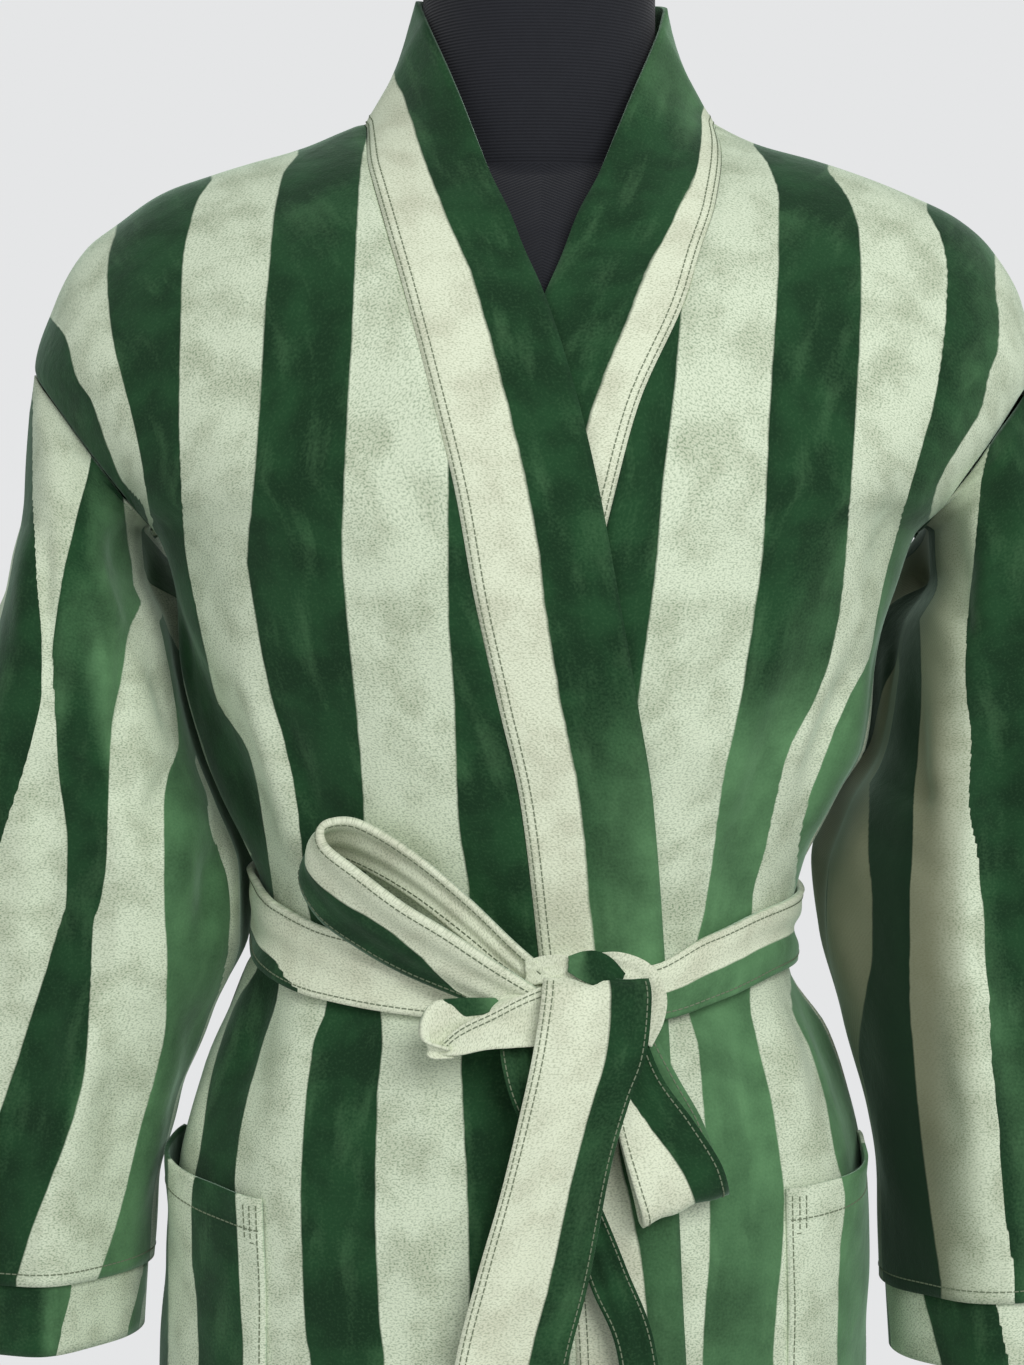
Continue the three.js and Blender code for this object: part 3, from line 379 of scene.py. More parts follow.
FORM_RINGS = (
    (690, 160, 148, 112, 116, 0), (720, 174, 160, 122, 126, 0), (800, 179, 165, 127, 130, 0),
    (845, 175, 162, 124, 126, 0), (910, 154, 144, 108, 108, 0), (965, 134, 127, 98, 91, 0),
    (1007, 138, 135, 104, 94, 0), (1060, 148, 148, 116, 103, 0), (1110, 158, 160, 128, 109, 0),
    (1172, 168, 172, 135, 112, 2), (1215, 173, 178, 130, 109, 4), (1258, 178, 184, 119, 104, 5),
    (1295, 184, 190, 105, 98, 5), (1324, 187, 194, 88, 88, 5), (1345, 186, 193, 74, 80, 5),
    (1395, 186, 193, 74, 80, 5),
)


@dataclass(frozen=True)
class FoldBand:
    """Soft folds round the body between two heights."""

    start: float
    full: float
    fade: float
    end: float
    deep: float
    count: int
    first: float
    on_front: float


FOLD_BANDS = (
    FoldBand(880, 200, 199, 198, 9, 9, 0.6, 0.35),
    FoldBand(985, 1040, 1080, 1165, 3, 14, 0, 0),
    FoldBand(950, 905, 850, 780, 2.5, 13, 1, 0),
)

# Creases in view, then those on the sides and the back, which the photo hides.
BODY_CREASES = tuple(Crease(*row) for row in (
    (((186, 404), (262, 412), (350, 416), (436, 428)), 3, -1.5),
    (((675, 408), (770, 404), (850, 400), (920, 396)), 3, -1.5),
    (((128, 500), (150, 560), (168, 620), (200, 700), (232, 780)), 9, -6),
    (((140, 480), (172, 540), (196, 610), (222, 690), (250, 770)), 8, 4.5),
    (((205, 640), (228, 700), (250, 770), (270, 850)), 8, -6),
    (((232, 650), (262, 730), (285, 800), (300, 870)), 8, 4.5),
    (((262, 690), (290, 760), (312, 840)), 9, -4),
    (((330, 640), (338, 740), (352, 830)), 14, -2),
    (((868, 640), (846, 690), (824, 740), (800, 800)), 8, -6.5),
    (((840, 630), (815, 700), (790, 770), (770, 840)), 9, 4.5),
    (((800, 660), (776, 740), (750, 820), (730, 890)), 9, -4.5),
    (((770, 640), (742, 740), (715, 830), (700, 890)), 10, 2),
    (((905, 470), (890, 540), (868, 610)), 8, -4.5),
    (((690, 760), (715, 820), (740, 880)), 9, -2),
    (((270, 975), (252, 1030), (236, 1100)), 8, -5),
    (((300, 990), (290, 1050), (280, 1130)), 9, 2.5),
    (((345, 1010), (350, 1080), (356, 1170)), 10, -2.5),
    (((400, 1020), (425, 1080), (440, 1180)), 12, 2),
    (((430, 1040), (455, 1120), (470, 1230)), 9, -2),
    (((735, 1010), (748, 1080), (755, 1180)), 9, -2.5),
    (((765, 1000), (790, 1060), (806, 1140)), 9, 2.5),
    (((790, 980), (818, 1050), (832, 1130)), 8, -4.5),
))
BODY_CREASES += tuple(Crease(*row, Chart.ROUND) for row in (
    (((84, 985), (88, 900), (92, 780)), 14, -3),
    (((112, 985), (120, 880), (124, 700)), 13, 3),
    (((60, 985), (52, 880), (48, 690)), 13, -3.5),
    (((36, 985), (28, 900), (22, 800)), 11, 3),
    (((140, 985), (150, 890), (156, 760)), 11, -3),
    (((98, 1000), (96, 1060), (90, 1150)), 13, -3),
    (((124, 1000), (130, 1070), (140, 1160)), 12, 3),
    (((66, 1000), (56, 1080), (44, 1165)), 12, -3),
    (((40, 1000), (30, 1070), (22, 1150)), 10, 3),
    (((150, 1000), (158, 1070), (166, 1140)), 10, -3),
    (((70, 1330), (80, 1250), (84, 1180)), 16, -2),
    (((118, 1330), (112, 1260), (106, 1190)), 16, -2),
))


class BodyCloth:
    """The surface that the robe's body panels share."""

    ROUND_MM = 2.9
    NEAR_TURN = 0.004

    def __init__(self) -> None:
        """Read the outline."""
        self.outline = Outline(BODY_RINGS)

    def fold(self, turn: Array, z: Array) -> Array:
        """Return the rise of the broad folds at a turn and height."""
        facing = 1 - np.abs(np.sin((turn - np.pi / 2) / 2)) ** 8
        side = smooth(0.25, 0.75, facing)
        rise = np.zeros(np.broadcast(turn, z).shape)
        for band in FOLD_BANDS:
            here = smooth(band.start, band.full, z) * smooth(band.end, band.fade, z)
            wave = np.sin(band.count * turn + band.first)
            rise = rise + here * band.deep * wave * mix(band.on_front, 1, side)
        return rise

    def point(self, turn: Array, z: Array) -> Array:
        """Return the cloth's point at a turn and height."""
        turn, z = np.broadcast_arrays(np.asarray(turn, float), np.asarray(z, float))
        point = self.outline.point(turn, z)
        out = np.stack([np.cos(turn), np.sin(turn), np.zeros_like(turn)], axis=-1)
        return point + self.fold(turn, z)[..., None] * out

    def lifted(self, turn: Array, z: Array, out: Array | float = 0.0) -> Array:
        """Return the cloth's point standing off by out millimetres."""
        turn, z = np.broadcast_arrays(np.asarray(turn, float), np.asarray(z, float))
        along = self.point(turn + self.NEAR_TURN, z) - self.point(turn - self.NEAR_TURN, z)
        up = self.point(turn, z + 1) - self.point(turn, z - 1)
        out = np.broadcast_to(np.asarray(out, float), turn.shape)
        return self.point(turn, z) + unit(np.cross(along, up)) * out[..., None]


CLOTH = BodyCloth()


def grid_normals(grid: Array, closed: bool, away_from: Array) -> Array:
    """Return the normals of a grid of points.

    Args:
        grid: The points, rows by columns.
        closed: Whether the columns close on themselves.
        away_from: A point, or one for each row, that the normals look away from.

    Returns:
        One unit normal for each point.
    """
    if closed:
        across = np.roll(grid, -1, axis=1) - np.roll(grid, 1, axis=1)
    else:
        across = np.gradient(grid, axis=1)
    normals = unit(np.cross(across, np.gradient(grid, axis=0)))
    centre = np.asarray(away_from, float)
    centre = centre[:, None, :] if centre.ndim == 2 else centre
    side = np.sum(normals * (grid - centre))
    return normals if side > 0 else -normals


def creased(grid: Array, normals: Array, creases: tuple[Crease, ...], keep: Array | float = 1.0) -> Array:
    """Return a grid with its creases pressed into it.

    Args:
        grid: The points.
        normals: Their normals.
        creases: The creases, of which those in view act on points that face the camera.
        keep: The share of each crease that a point takes.

    Returns:
        The moved points.
    """
    facing = smooth(0.0, 0.35, -normals[..., 1])
    pixels = VIEW.pixels(grid)
    turns = np.degrees(np.arctan2(grid[..., 1], grid[..., 0])) % 360
    rounds = np.stack([turns, grid[..., 2]], axis=-1)
    rise = np.zeros(grid.shape[:-1])
    for crease in creases:
        if crease.chart is Chart.PHOTO:
            rise += facing * crease.press(pixels, (VIEW.scale, VIEW.scale))
        else:
            rise += crease.press(rounds, (BodyCloth.ROUND_MM, 1.0))
    return grid + normals * (rise * keep)[..., None]


def wavered(grid: Array, normals: Array, height: float, length: float, seed: float) -> Array:
    """Return a grid with the slight unevenness of hanging cloth.

    Args:
        grid: The points.
        normals: Their normals.
        height: How far the cloth wavers.
        length: How long its waves are.
        seed: Where the waves start.

    Returns:
        The moved points.
    """
    x, y, z = np.moveaxis(grid / length, -1, 0)
    wave = np.sin(2.1 * x + 1.3 * z + seed) * np.sin(1.7 * y - 0.9 * z + 2 * seed)
    wave = wave + 0.6 * np.sin(3.9 * x - 2.3 * y + 2.9 * z + 3 * seed)
    return grid + normals * (height * wave)[..., None]


def new_piece(name: str, points: Array, faces: list, material: Material) -> Piece:
    """Make and link a mesh of points in millimetres."""
    mesh = bpy.data.meshes.new(name)
    mesh.from_pydata((points * MM).tolist(), [], faces)
    piece = bpy.data.objects.new(name, mesh)
    bpy.context.scene.collection.objects.link(piece)
    mesh.materials.append(material)
    return piece


class ClothPiece:
    """One piece of cloth: its outer grid of points, its wall and its stripe count.

    IN_SIGHT is the least slope towards the camera of cloth that the photograph shows. The
    other values say where light is painted into the pile's colour: LOW on the cloth turned
    to the viewer's right below the heights in lit, and SIDE where it turns further. A
    piece's shade is taken off this as painted shade.
    """

    IN_SIGHT = 0.12
    EVENED = 8
    LOW_TURN = (-0.05, 0.4)
    LOW_LIGHT = 1.2
    LOW_HALVED = (820.0, 940.0)
    SIDE_TURN = (0.45, 0.95)
    SIDE_LIGHT = 0.7

    def __init__(self, name: str, grid: Array, normals: Array, wall: float, closed: bool = False) -> None:
        """Keep the piece's surface, in millimetres."""
        self.name = name
        self.grid = grid
        self.normals = normals
        self.wall = wall
        self.closed = closed
        self.stripes = np.zeros((grid.shape[0], grid.shape[1] + closed))
        self.shade = 0.0
        self.lit = (1115.0, 1035.0)

    def painted_light(self) -> Array:
        """Return the painted light, up to 1, and the painted shade, down to -1, at every corner."""
        aside = self.normals[..., 0]
        if self.closed:
            shifts = range(-self.EVENED, self.EVENED + 1)
            aside = np.mean([np.roll(aside, k, axis=1) for k in shifts], axis=0)
        z = self.grid[..., 2]
        # Painted light on cloth turned to the viewer's right, halved lower down; the piece's shade is taken
        # off as painted shade.
        low = smooth(*self.lit, z) * smooth(*self.LOW_TURN, aside)
        low = low * mix(0.5, 1, smooth(*self.LOW_HALVED, z))
        light = np.clip(self.LOW_LIGHT * low + self.SIDE_LIGHT * smooth(*self.SIDE_TURN, aside), 0, 1)
        return self.closing(np.clip(light - self.shade, -1, 1))

    def closing(self, values: Array) -> Array:
        """Return a grid's values with the first column once more at the end of a closed piece."""
        return np.concatenate([values, values[:, :1]], axis=1) if self.closed else values

    def striped(self, chart: StripeChart) -> None:
        """Count the stripes of every row by a chart of their edges."""
        grid = self.closing(self.grid)
        pixels = VIEW.pixels(grid)
        facing = -self.closing(self.normals)[..., 1] - self.IN_SIGHT
        for i in range(len(grid)):
            self.stripes[i] = chart.count(pixels[i], facing[i], lengths_along(grid[i]))

    def counted(self, stripes: Array) -> None:
        """Take a stripe count that is worked out elsewhere."""
        self.stripes = np.broadcast_to(stripes, self.stripes.shape).copy()

    def make(self, finish: "StripedVelvet", *nodes: str) -> Piece:
        """Build the mesh, dress it and let it ride in place of its solids.

        Args:
            finish: The cloth's finish.
            nodes: The solids that it stands for.

        Returns:
            The piece.
        """
        rows, columns = self.grid.shape[:2]
        inner = self.grid - self.normals * self.wall
        points = np.concatenate([self.grid.reshape(-1, 3), inner.reshape(-1, 3)])
        spans = columns if self.closed else columns - 1
        i, j = np.meshgrid(np.arange(rows - 1), np.arange(spans), indexing="ij")
        corners = [(i, j), (i, j + 1), (i + 1, j + 1), (i + 1, j)]
        weave, painted_light = self.weave(), self.painted_light()
        turned = self.faces_in()
        quads, counts, weaves, painted_lights = [], [], [], []

        def put(parts: list[tuple[Array, Array, int]], inside_out: bool) -> None:
            """Add the faces whose four corners are rows, columns and layers."""
            parts = parts[::-1] if inside_out else parts
            index = [layer * rows * columns + a * columns + b % columns for a, b, layer in parts]
            quads.append(np.stack([k.ravel() for k in index], axis=-1))
            counts.append(np.stack([self.stripes[a, b].ravel() for a, b, _ in parts], axis=-1))
            painted_lights.append(np.stack([painted_light[a, b].ravel() for a, b, _ in parts], axis=-1))
            weaves.append(np.stack([weave[a, b].reshape(-1, 2) for a, b, _ in parts], axis=1))

        put([(a, b, 0) for a, b in corners], turned)
        put([(a, b, 1) for a, b in reversed(corners)], turned)
        along = np.arange(spans)
        for row, last in ((0, False), (rows - 1, True)):
            level = np.full(spans, row)
            rim = [(level, along, 0), (level, along, 1), (level, along + 1, 1), (level, along + 1, 0)]
            put(rim, last != turned)
        along = np.arange(rows - 1)
        for column, first in () if self.closed else ((0, True), (columns - 1, False)):
            level = np.full(rows - 1, column)
            rim = [(along, level, 0), (along, level, 1), (along + 1, level, 1), (along + 1, level, 0)]
            put(rim, first != turned)
        piece = new_piece(self.name, points, np.concatenate(quads).tolist(), finish.material())
        mesh = piece.data
        stripe_map = mesh.uv_layers.new(name="stripe")
        # The stripe map carries the stripe count and, second, the painted light and shade.
        flat = np.stack([np.concatenate(counts).ravel(), np.concatenate(painted_lights).ravel()], axis=-1)
        stripe_map.data.foreach_set("uv", flat.ravel())
        weave_map = mesh.uv_layers.new(name="weave")
        weave_map.data.foreach_set("uv", np.concatenate(weaves).ravel())
        mesh.shade_smooth()
        mesh.validate()
        return seat(piece, CLOTH_SLOT, *nodes)

    def faces_in(self) -> bool:
        """Return whether the grid's own winding looks inwards."""
        across = np.gradient(self.grid, axis=1)
        own = np.cross(across, np.gradient(self.grid, axis=0))
        return bool(np.sum(own * self.normals) < 0)

    def weave(self) -> Array:
        """Return millimetres across and along the cloth for every corner."""
        grid = self.closing(self.grid)
        across = np.stack([lengths_along(row) for row in grid])
        middle = grid.shape[1] // 2
        along = lengths_along(grid[:, middle])[:, None]
        return np.stack(np.broadcast_arrays(across - across[:, middle:middle + 1], along), -1)

    def area(self) -> float:
        """Return the cloth's area in square metres."""
        grid = self.closing(self.grid)
        a = grid[1:, 1:] - grid[:-1, :-1]
        b = grid[1:, :-1] - grid[:-1, 1:]
        return float(np.sum(np.linalg.norm(np.cross(a, b), axis=-1)) / 2) * MM * MM


def seat(piece: Piece, slot: str | None, *nodes: str) -> Piece:
    """Let a finished piece ride on the part's body.

    Args:
        piece: The piece, in place.
        slot: Not used.
        nodes: The solids that it stands for.

    Returns:
        The piece.
    """
    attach(piece, BODY)
    if nodes:
        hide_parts(*nodes)
    log.info("%s: %d faces", piece.name, len(piece.data.polygons))
    return piece


@dataclass(frozen=True)
class Shade:
    """A colour given as it looks on the screen."""

    red: int
    green: int
    blue: int

    def linear(self) -> tuple[float, float, float, float]:
        """Return the colour as the renderer needs it."""
        values = []
        for level in (self.red, self.green, self.blue):
            share = level / 255
            values.append(share / 12.92 if share <= 0.04045 else ((share + 0.055) / 1.055) ** 2.4)
        return (*values, 1.0)


class Nodes:
    """A material's nodes, made and linked in short calls."""

    def __init__(self, name: str) -> None:
        """Create an empty material."""
        self.material = bpy.data.materials.new(name)
        self.material.use_nodes = True
        self.tree = self.material.node_tree
        self.tree.nodes.clear()

    def add(self, kind: str, settings: dict | None = None, **inputs: object) -> bpy.types.Node:
        """Add a node.

        Args:
            kind: The node's type.
            settings: The node's own settings.
            inputs: Values or sockets for its inputs, named with _ for a space or by i0, i1.

        Returns:
            The node.
        """
        node = self.tree.nodes.new(kind)
        for key, value in (settings or {}).items():
            setattr(node, key, value)
        for key, value in inputs.items():
            socket = node.inputs[int(key[1:]) if key[1:].isdigit() else key.replace("_", " ")]
            if isinstance(value, Socket):
                self.tree.links.new(value, socket)
            else:
                socket.default_value = value
        return node

    def math(self, operation: str, a: object, b: object = 0.0, clamp: bool = False) -> Socket:
        """Return the result of one operation on a and b."""
        settings = {"operation": operation, "use_clamp": clamp}
        return self.add("ShaderNodeMath", settings, i0=a, i1=b).outputs[0]

    def blend(self, share: object, a: object, b: object) -> Socket:
        """Return a colour between a and b."""
        node = self.tree.nodes.new("ShaderNodeMix")
        node.data_type = "RGBA"
        for index, value in ((0, share), (6, a), (7, b)):
            if isinstance(value, Socket):
                self.tree.links.new(value, node.inputs[index])
            else:
                node.inputs[index].default_value = value
        return node.outputs[2]

    def ramp(self, share: object, low: float, high: float) -> Socket:
        """Return 0 below low and 1 above high, with a soft step between."""
        settings = {"interpolation_type": "SMOOTHSTEP"}
        node = self.add("ShaderNodeMapRange", settings, Value=share, From_Min=low, From_Max=high)
        return node.outputs[0]

    def times(self, a: object, b: object, clamp: bool = False) -> Socket:
        """Return a times b."""
        return self.math("MULTIPLY", a, b, clamp)

    def plus(self, a: object, b: object, clamp: bool = False) -> Socket:
        """Return a plus b."""
        return self.math("ADD", a, b, clamp)

    def minus(self, a: object, b: object) -> Socket:
        """Return a minus b."""
        return self.math("SUBTRACT", a, b)

    def noise(self, place: object, scale: float, detail: float) -> Socket:
        """Return soft noise over a place."""
        return self.add("ShaderNodeTexNoise", Vector=place, Scale=scale, Detail=detail).outputs[0]

    def stretched(self, place: object, scale: Triple) -> Socket:
        """Return a place scaled along each axis."""
        return self.add("ShaderNodeMapping", Vector=place, Scale=scale).outputs[0]

    def finish(self, shader: bpy.types.Node) -> Material:
        """Link the shader to the output and return the material."""
        output = self.add("ShaderNodeOutputMaterial")
        self.tree.links.new(shader.outputs[0], output.inputs["Surface"])
        return self.material


@dataclass(frozen=True)
class StripedVelvet:
    """Cut green pile in stripes on a flat heathered cream weave.

    The sizes are millimetres on the cloth. The edge and the shoulder say how steeply the
    colour and the pile end at a stripe's edge; crushed and grain are shares of light pile.
    The stripe map's second value paints light on the pile above zero and paints shade on
    both cream and pile below zero.
    """

    name: str = "striped_velvet"
    pile_dark: Shade = Shade(22, 51, 29)
    pile_mid: Shade = Shade(32, 69, 40)
    pile_light: Shade = Shade(98, 142, 98)
    weave: Shade = Shade(214, 225, 200)
    shaded: Shade = Shade(192, 201, 176)
    fleck: Shade = Shade(112, 136, 106)
    # The colours of the painted shade on the cream and on the pile.
    painted_shade_weave: Shade = Shade(108, 110, 86)
    painted_shade_pile: Shade = Shade(18, 40, 24)
    cloud: float = 30.0
    twill_pitch: float = 1.5
    edge: float = 14.0
    shoulder: float = 4.0
    wobble: float = 0.02
    crushed: float = 0.22
    grain: float = 0.4
    sheen: float = 0.35
    pile_height: float = 0.5 * MM

    def material(self) -> Material:
        """Return the finish, made once and shared."""
        found = bpy.data.materials.get(self.name)
        return found or self.build()

    def build(self) -> Material:
        """Create the material."""
        nodes = Nodes(self.name)
        stripe = nodes.add("ShaderNodeUVMap", {"uv_map": "stripe"}).outputs[0]
        cloth = nodes.add("ShaderNodeUVMap", {"uv_map": "weave"}).outputs[0]
        parts = nodes.add("ShaderNodeSeparateXYZ", Vector=stripe)
        # The stripe map's second value is painted light above zero and painted shade below zero.
        count, turned = parts.outputs[0], parts.outputs[1]
        shift = nodes.times(nodes.minus(nodes.noise(cloth, 0.08, 1.0), 0.5), self.wobble)
        wave = nodes.math("SINE", nodes.times(nodes.plus(count, shift), math.pi))
        pile = nodes.plus(nodes.times(wave, -self.edge), 0.5, clamp=True)
        clouds = nodes.noise(cloth, 1 / self.cloud, 3.0)
        streaks = nodes.noise(nodes.stretched(cloth, (0.07, 0.02, 1)), 1.0, 3.0)
        green = nodes.blend(
            nodes.ramp(clouds, 0.36, 0.66), self.pile_dark.linear(), self.pile_mid.linear()
        )
        crushed = nodes.times(nodes.ramp(streaks, 0.48, 0.78), self.crushed)
        grain = nodes.times(nodes.minus(nodes.noise(cloth, 0.7, 2.0), 0.5), self.grain)
        clouded = nodes.plus(nodes.times(clouds, 1.1), 0.15)
        # Painted light: the green pile is lightened where the cloth turns towards the light.
        lit = nodes.times(nodes.math("MAXIMUM", turned, 0.0), clouded)
        share = nodes.plus(nodes.plus(crushed, grain), lit, clamp=True)
        green = nodes.blend(share, green, self.pile_light.linear())
        slubs = nodes.noise(nodes.stretched(cloth, (0.8, 1.25, 1)), 1.0, 3.0)
        mottle = nodes.noise(cloth, 0.04, 4.0)
        worn = nodes.plus(nodes.times(mottle, 1.1), 0.1)
        base = nodes.blend(nodes.ramp(mottle, 0.4, 0.7), self.weave.linear(), self.shaded.linear())
        specks = nodes.times(nodes.ramp(slubs, 0.43, 0.68), worn)
        cream = nodes.blend(specks, base, self.fleck.linear())
        # Painted shade: cream and green are darkened where the stripe map's second value is below zero.
        painted_shade = nodes.times(turned, -1.0, clamp=True)
        cream = nodes.blend(painted_shade, cream, self.painted_shade_weave.linear())
        green = nodes.blend(painted_shade, green, self.painted_shade_pile.linear())
        rounded = nodes.plus(nodes.times(wave, -self.shoulder), 0.5, clamp=True)
        height = self.relief(nodes, cloth, rounded)
        bump = nodes.add("ShaderNodeBump", Strength=0.55, Distance=self.pile_height, Height=height)
        shader = nodes.add(
            "ShaderNodeBsdfPrincipled",
            Base_Color=nodes.blend(pile, cream, green),
            Roughness=0.9,
            Sheen_Weight=self.sheen,
            Sheen_Roughness=0.4,
            Sheen_Tint=(0.72, 1.0, 0.8, 1.0),
            Normal=bump.outputs[0],
        )
        shader.inputs["Specular IOR Level"].default_value = 0.15
        return nodes.finish(shader)

    def relief(self, nodes: Nodes, cloth: object, pile: object) -> Socket:
        """Return the height of pile and weave.

        Args:
            nodes: The material's nodes.
            cloth: The cloth's own coordinates.
            pile: 1 on the pile and 0 on the weave.

        Returns:
            The height, in pile heights.
        """
        twill = nodes.add(
            "ShaderNodeTexWave",
            {"wave_type": "BANDS", "bands_direction": "DIAGONAL"},
            Vector=cloth,
            Scale=0.31 / self.twill_pitch,
            Distortion=0.6,
            Detail=1.0,
        )
        tufts = nodes.times(nodes.noise(cloth, 0.9, 2.0), 0.5)
        dents = nodes.times(nodes.noise(cloth, 0.11, 2.0), 1.6)
        piled = nodes.plus(tufts, nodes.minus(dents, 0.4))
        flat = nodes.times(nodes.times(twill.outputs[1], 0.2), nodes.minus(1.0, pile))
        return nodes.plus(flat, nodes.times(piled, pile))


@dataclass(frozen=True)
class RibbedJersey:
    """The form's black cover: fine ribs level on the neck and slanted to the seam below."""

    black: Shade = Shade(25, 26, 31)
    # The lighter colour, on each rib's crest and in random spots.
    worn: Shade = Shade(40, 42, 48)
    pitch: float = 1.7 * MM
    neck_seam: float = 1.362
    seam_x: float = 5 * MM
    slant: float = 0.45

    def material(self) -> Material:
        """Return the finish."""
        nodes = Nodes("ribbed_jersey")
        place = nodes.add("ShaderNodeTexCoord").outputs["Object"]
        axes = nodes.add("ShaderNodeSeparateXYZ", Vector=place)
        aside = nodes.math("ABSOLUTE", nodes.minus(axes.outputs[0], self.seam_x))
        slant = nodes.times(aside, self.slant)
        above = nodes.math("GREATER_THAN", axes.outputs[2], self.neck_seam)
        level = nodes.minus(nodes.plus(axes.outputs[2], slant), nodes.times(slant, above))
        rib = nodes.math("SINE", nodes.times(level, 2 * math.pi / self.pitch))
        # The colour is lighter on each rib's crest and in random spots.
        share = nodes.times(nodes.plus(nodes.times(rib, 0.5), 0.5), 0.5)
        spotted = nodes.plus(share, nodes.times(nodes.noise(place, 140.0, 3.0), 0.3))
        colour = nodes.blend(spotted, self.black.linear(), self.worn.linear())
        bump = nodes.add("ShaderNodeBump", Strength=0.5, Distance=0.4 * MM, Height=rib)
        shader = nodes.add(
            "ShaderNodeBsdfPrincipled",
            Base_Color=colour,
            Roughness=0.85,
            Sheen_Weight=0.12,
            Sheen_Roughness=0.5,
            Normal=bump.outputs[0],
        )
        shader.inputs["Specular IOR Level"].default_value = 0.2
        return nodes.finish(shader)


@dataclass(frozen=True)
class PlainFinish:
    """An even finish, such as thread, lacquer or the floor."""

    name: str
    shade: Shade
    roughness: float
    metallic: float = 0.0

    def material(self) -> Material:
        """Return the finish."""
        found = bpy.data.materials.get(self.name)
        if found:
            return found
        nodes = Nodes(self.name)
        shader = nodes.add(
            "ShaderNodeBsdfPrincipled",
            Base_Color=self.shade.linear(),
            Roughness=self.roughness,
            Metallic=self.metallic,
        )
        return nodes.finish(shader)


VELVET = StripedVelvet()
BAND_VELVET = StripedVelvet(
    name="band_velvet",
    weave=Shade(224, 231, 206),
    shaded=Shade(210, 214, 190),
    fleck=Shade(158, 168, 140),
)
THREAD = PlainFinish("stitch_thread", Shade(108, 120, 96), 0.8)
LACQUER = PlainFinish("stand_lacquer", Shade(30, 31, 33), 0.38, 0.3)
FLOOR = PlainFinish("pale_floor", Shade(222, 223, 224), 0.9)

HEM_Z = 200.0
UNDERARM_Z = 1172.0
ARMHOLE_TOP_Z = 1258.0
SHOULDER_NECK_Z = 1393.0
BACK_NECK_Z = 1397.0
ARMHOLE_STEPS = 10
UPPER_SEAM_Z = (1172, 1205, 1238, 1268, 1298, 1325, 1347, 1365, 1380, 1389, 1393)
LAP_RISE = 3.2
LAP_FROM = math.radians(196)
LAP_FULL = math.radians(226)
CLOTH_WALL = 2.0
SEAM_GAP = 0.1
HALF_GAP_TURN = SEAM_GAP / 2 / 180
INSIDE = (0.0, 0.0, 800.0)
FLAT_BY_SEAM = 14
ROW_STEP = 6.0
STEPS_APART = 0.25


def lap(turn: Array, side: Side) -> Array:
    """Return how far the over-front lies off the shared surface."""
    rise = LAP_RISE * smooth(LAP_FROM, LAP_FULL, turn)
    return rise if side is Side.LEFT else np.zeros_like(np.asarray(turn, float))


def armhole(step: Array | float, side: Side, back: bool) -> tuple[Array, Array]:
    """Return the armhole seam's turn and height from the underarm, step 0, to step 10."""
    swing = (1 - np.cos(np.pi * np.asarray(step, float) / ARMHOLE_STEPS)) / 2
    z = mix(UNDERARM_Z, ARMHOLE_TOP_Z, swing)
    key = "left" if side is Side.LEFT else "right"
    outline = CLOTH.outline
    across = mix(outline.size(key, UNDERARM_Z), outline.size(key, ARMHOLE_TOP_Z), swing)
    share = np.minimum(1, across / outline.size(key, z))
    power = Outline.ROUNDNESS
    y = outline.size("back" if back else "front", z) * (1 - share**power) ** (1 / power)
    angle = np.arctan2(y, across)
    if side is Side.LEFT:
        return np.pi + (-angle if back else angle), z
    return (angle if back else 2 * np.pi - angle), z


def body_levels() -> tuple[Array, Array]:
    """Return the seam height and the armhole step of every row of a front."""
    lower = np.append(np.arange(HEM_Z, UNDERARM_Z - 1, ROW_STEP), UNDERARM_Z)
    steps = np.arange(STEPS_APART, ARMHOLE_STEPS + 0.01, STEPS_APART)
    upper = through(np.arange(ARMHOLE_STEPS + 1), UPPER_SEAM_Z, steps)
    return np.concatenate([lower, upper]), np.concatenate([np.zeros(len(lower)), steps])


def seam_groove(grid: Array, normals: Array, columns: tuple[int, ...], depth: float = 0.9) -> Array:
    """Return a grid whose cloth dips into the seams at the given columns."""
    sunk = grid.copy()
    for column in columns:
        away = np.linalg.norm(grid - grid[:, column:column + 1], axis=-1)
        sunk -= normals * (depth * np.exp(-((away / 2.6) ** 2)))[..., None]
    return sunk


def body_panel(node: str, grid: Array, keep: Array, seed: float) -> ClothPiece:
    """Return a body panel's cloth with its creases, dipped at both of its side edges."""
    normals = grid_normals(grid, False, INSIDE)
    grid = creased(grid, normals, BODY_CREASES, keep)
    grid = wavered(grid, normals, 0.55, 38, seed)
    grid = seam_groove(grid, normals, (0, grid.shape[1] - 1))
    return ClothPiece(f"{node}_cloth", grid, normals, CLOTH_WALL)


OVER_SEAM = (
    (200, 26), (600, 24), (763, 21), (850, 14), (920, 7), (961, 3), (1036, -6), (1085, -17),
    (1134, -28), (1184, -37), (1233, -49), (1286, -63), (1324, -74), (1345, -80), (1365, -85),
    (1393, -88),
)
OVER_FREE = (
    (200, 84), (600, 80), (763, 74), (850, 70), (920, 67), (961, 65), (1036, 59), (1085, 51),
    (1134, 42), (1184, 33), (1233, 22), (1286, 6), (1324, -11), (1345, -20), (1365, -30),
    (1393, -50),
)
UNDER_SEAM = (
    (200, -26), (600, -24), (850, -14), (961, -4), (1036, 4), (1085, 17), (1134, 28), (1173, 37),
    (1230, 52), (1287, 77), (1310, 84), (1340, 94), (1378, 100), (1393, 98),
)
UNDER_FREE = (
    (200, -84), (600, -82), (850, -76), (961, -70), (1036, -62), (1085, -50), (1134, -40),
    (1173, -30), (1230, -15), (1287, 6), (1310, 16), (1340, 29), (1378, 46), (1393, 58),
)


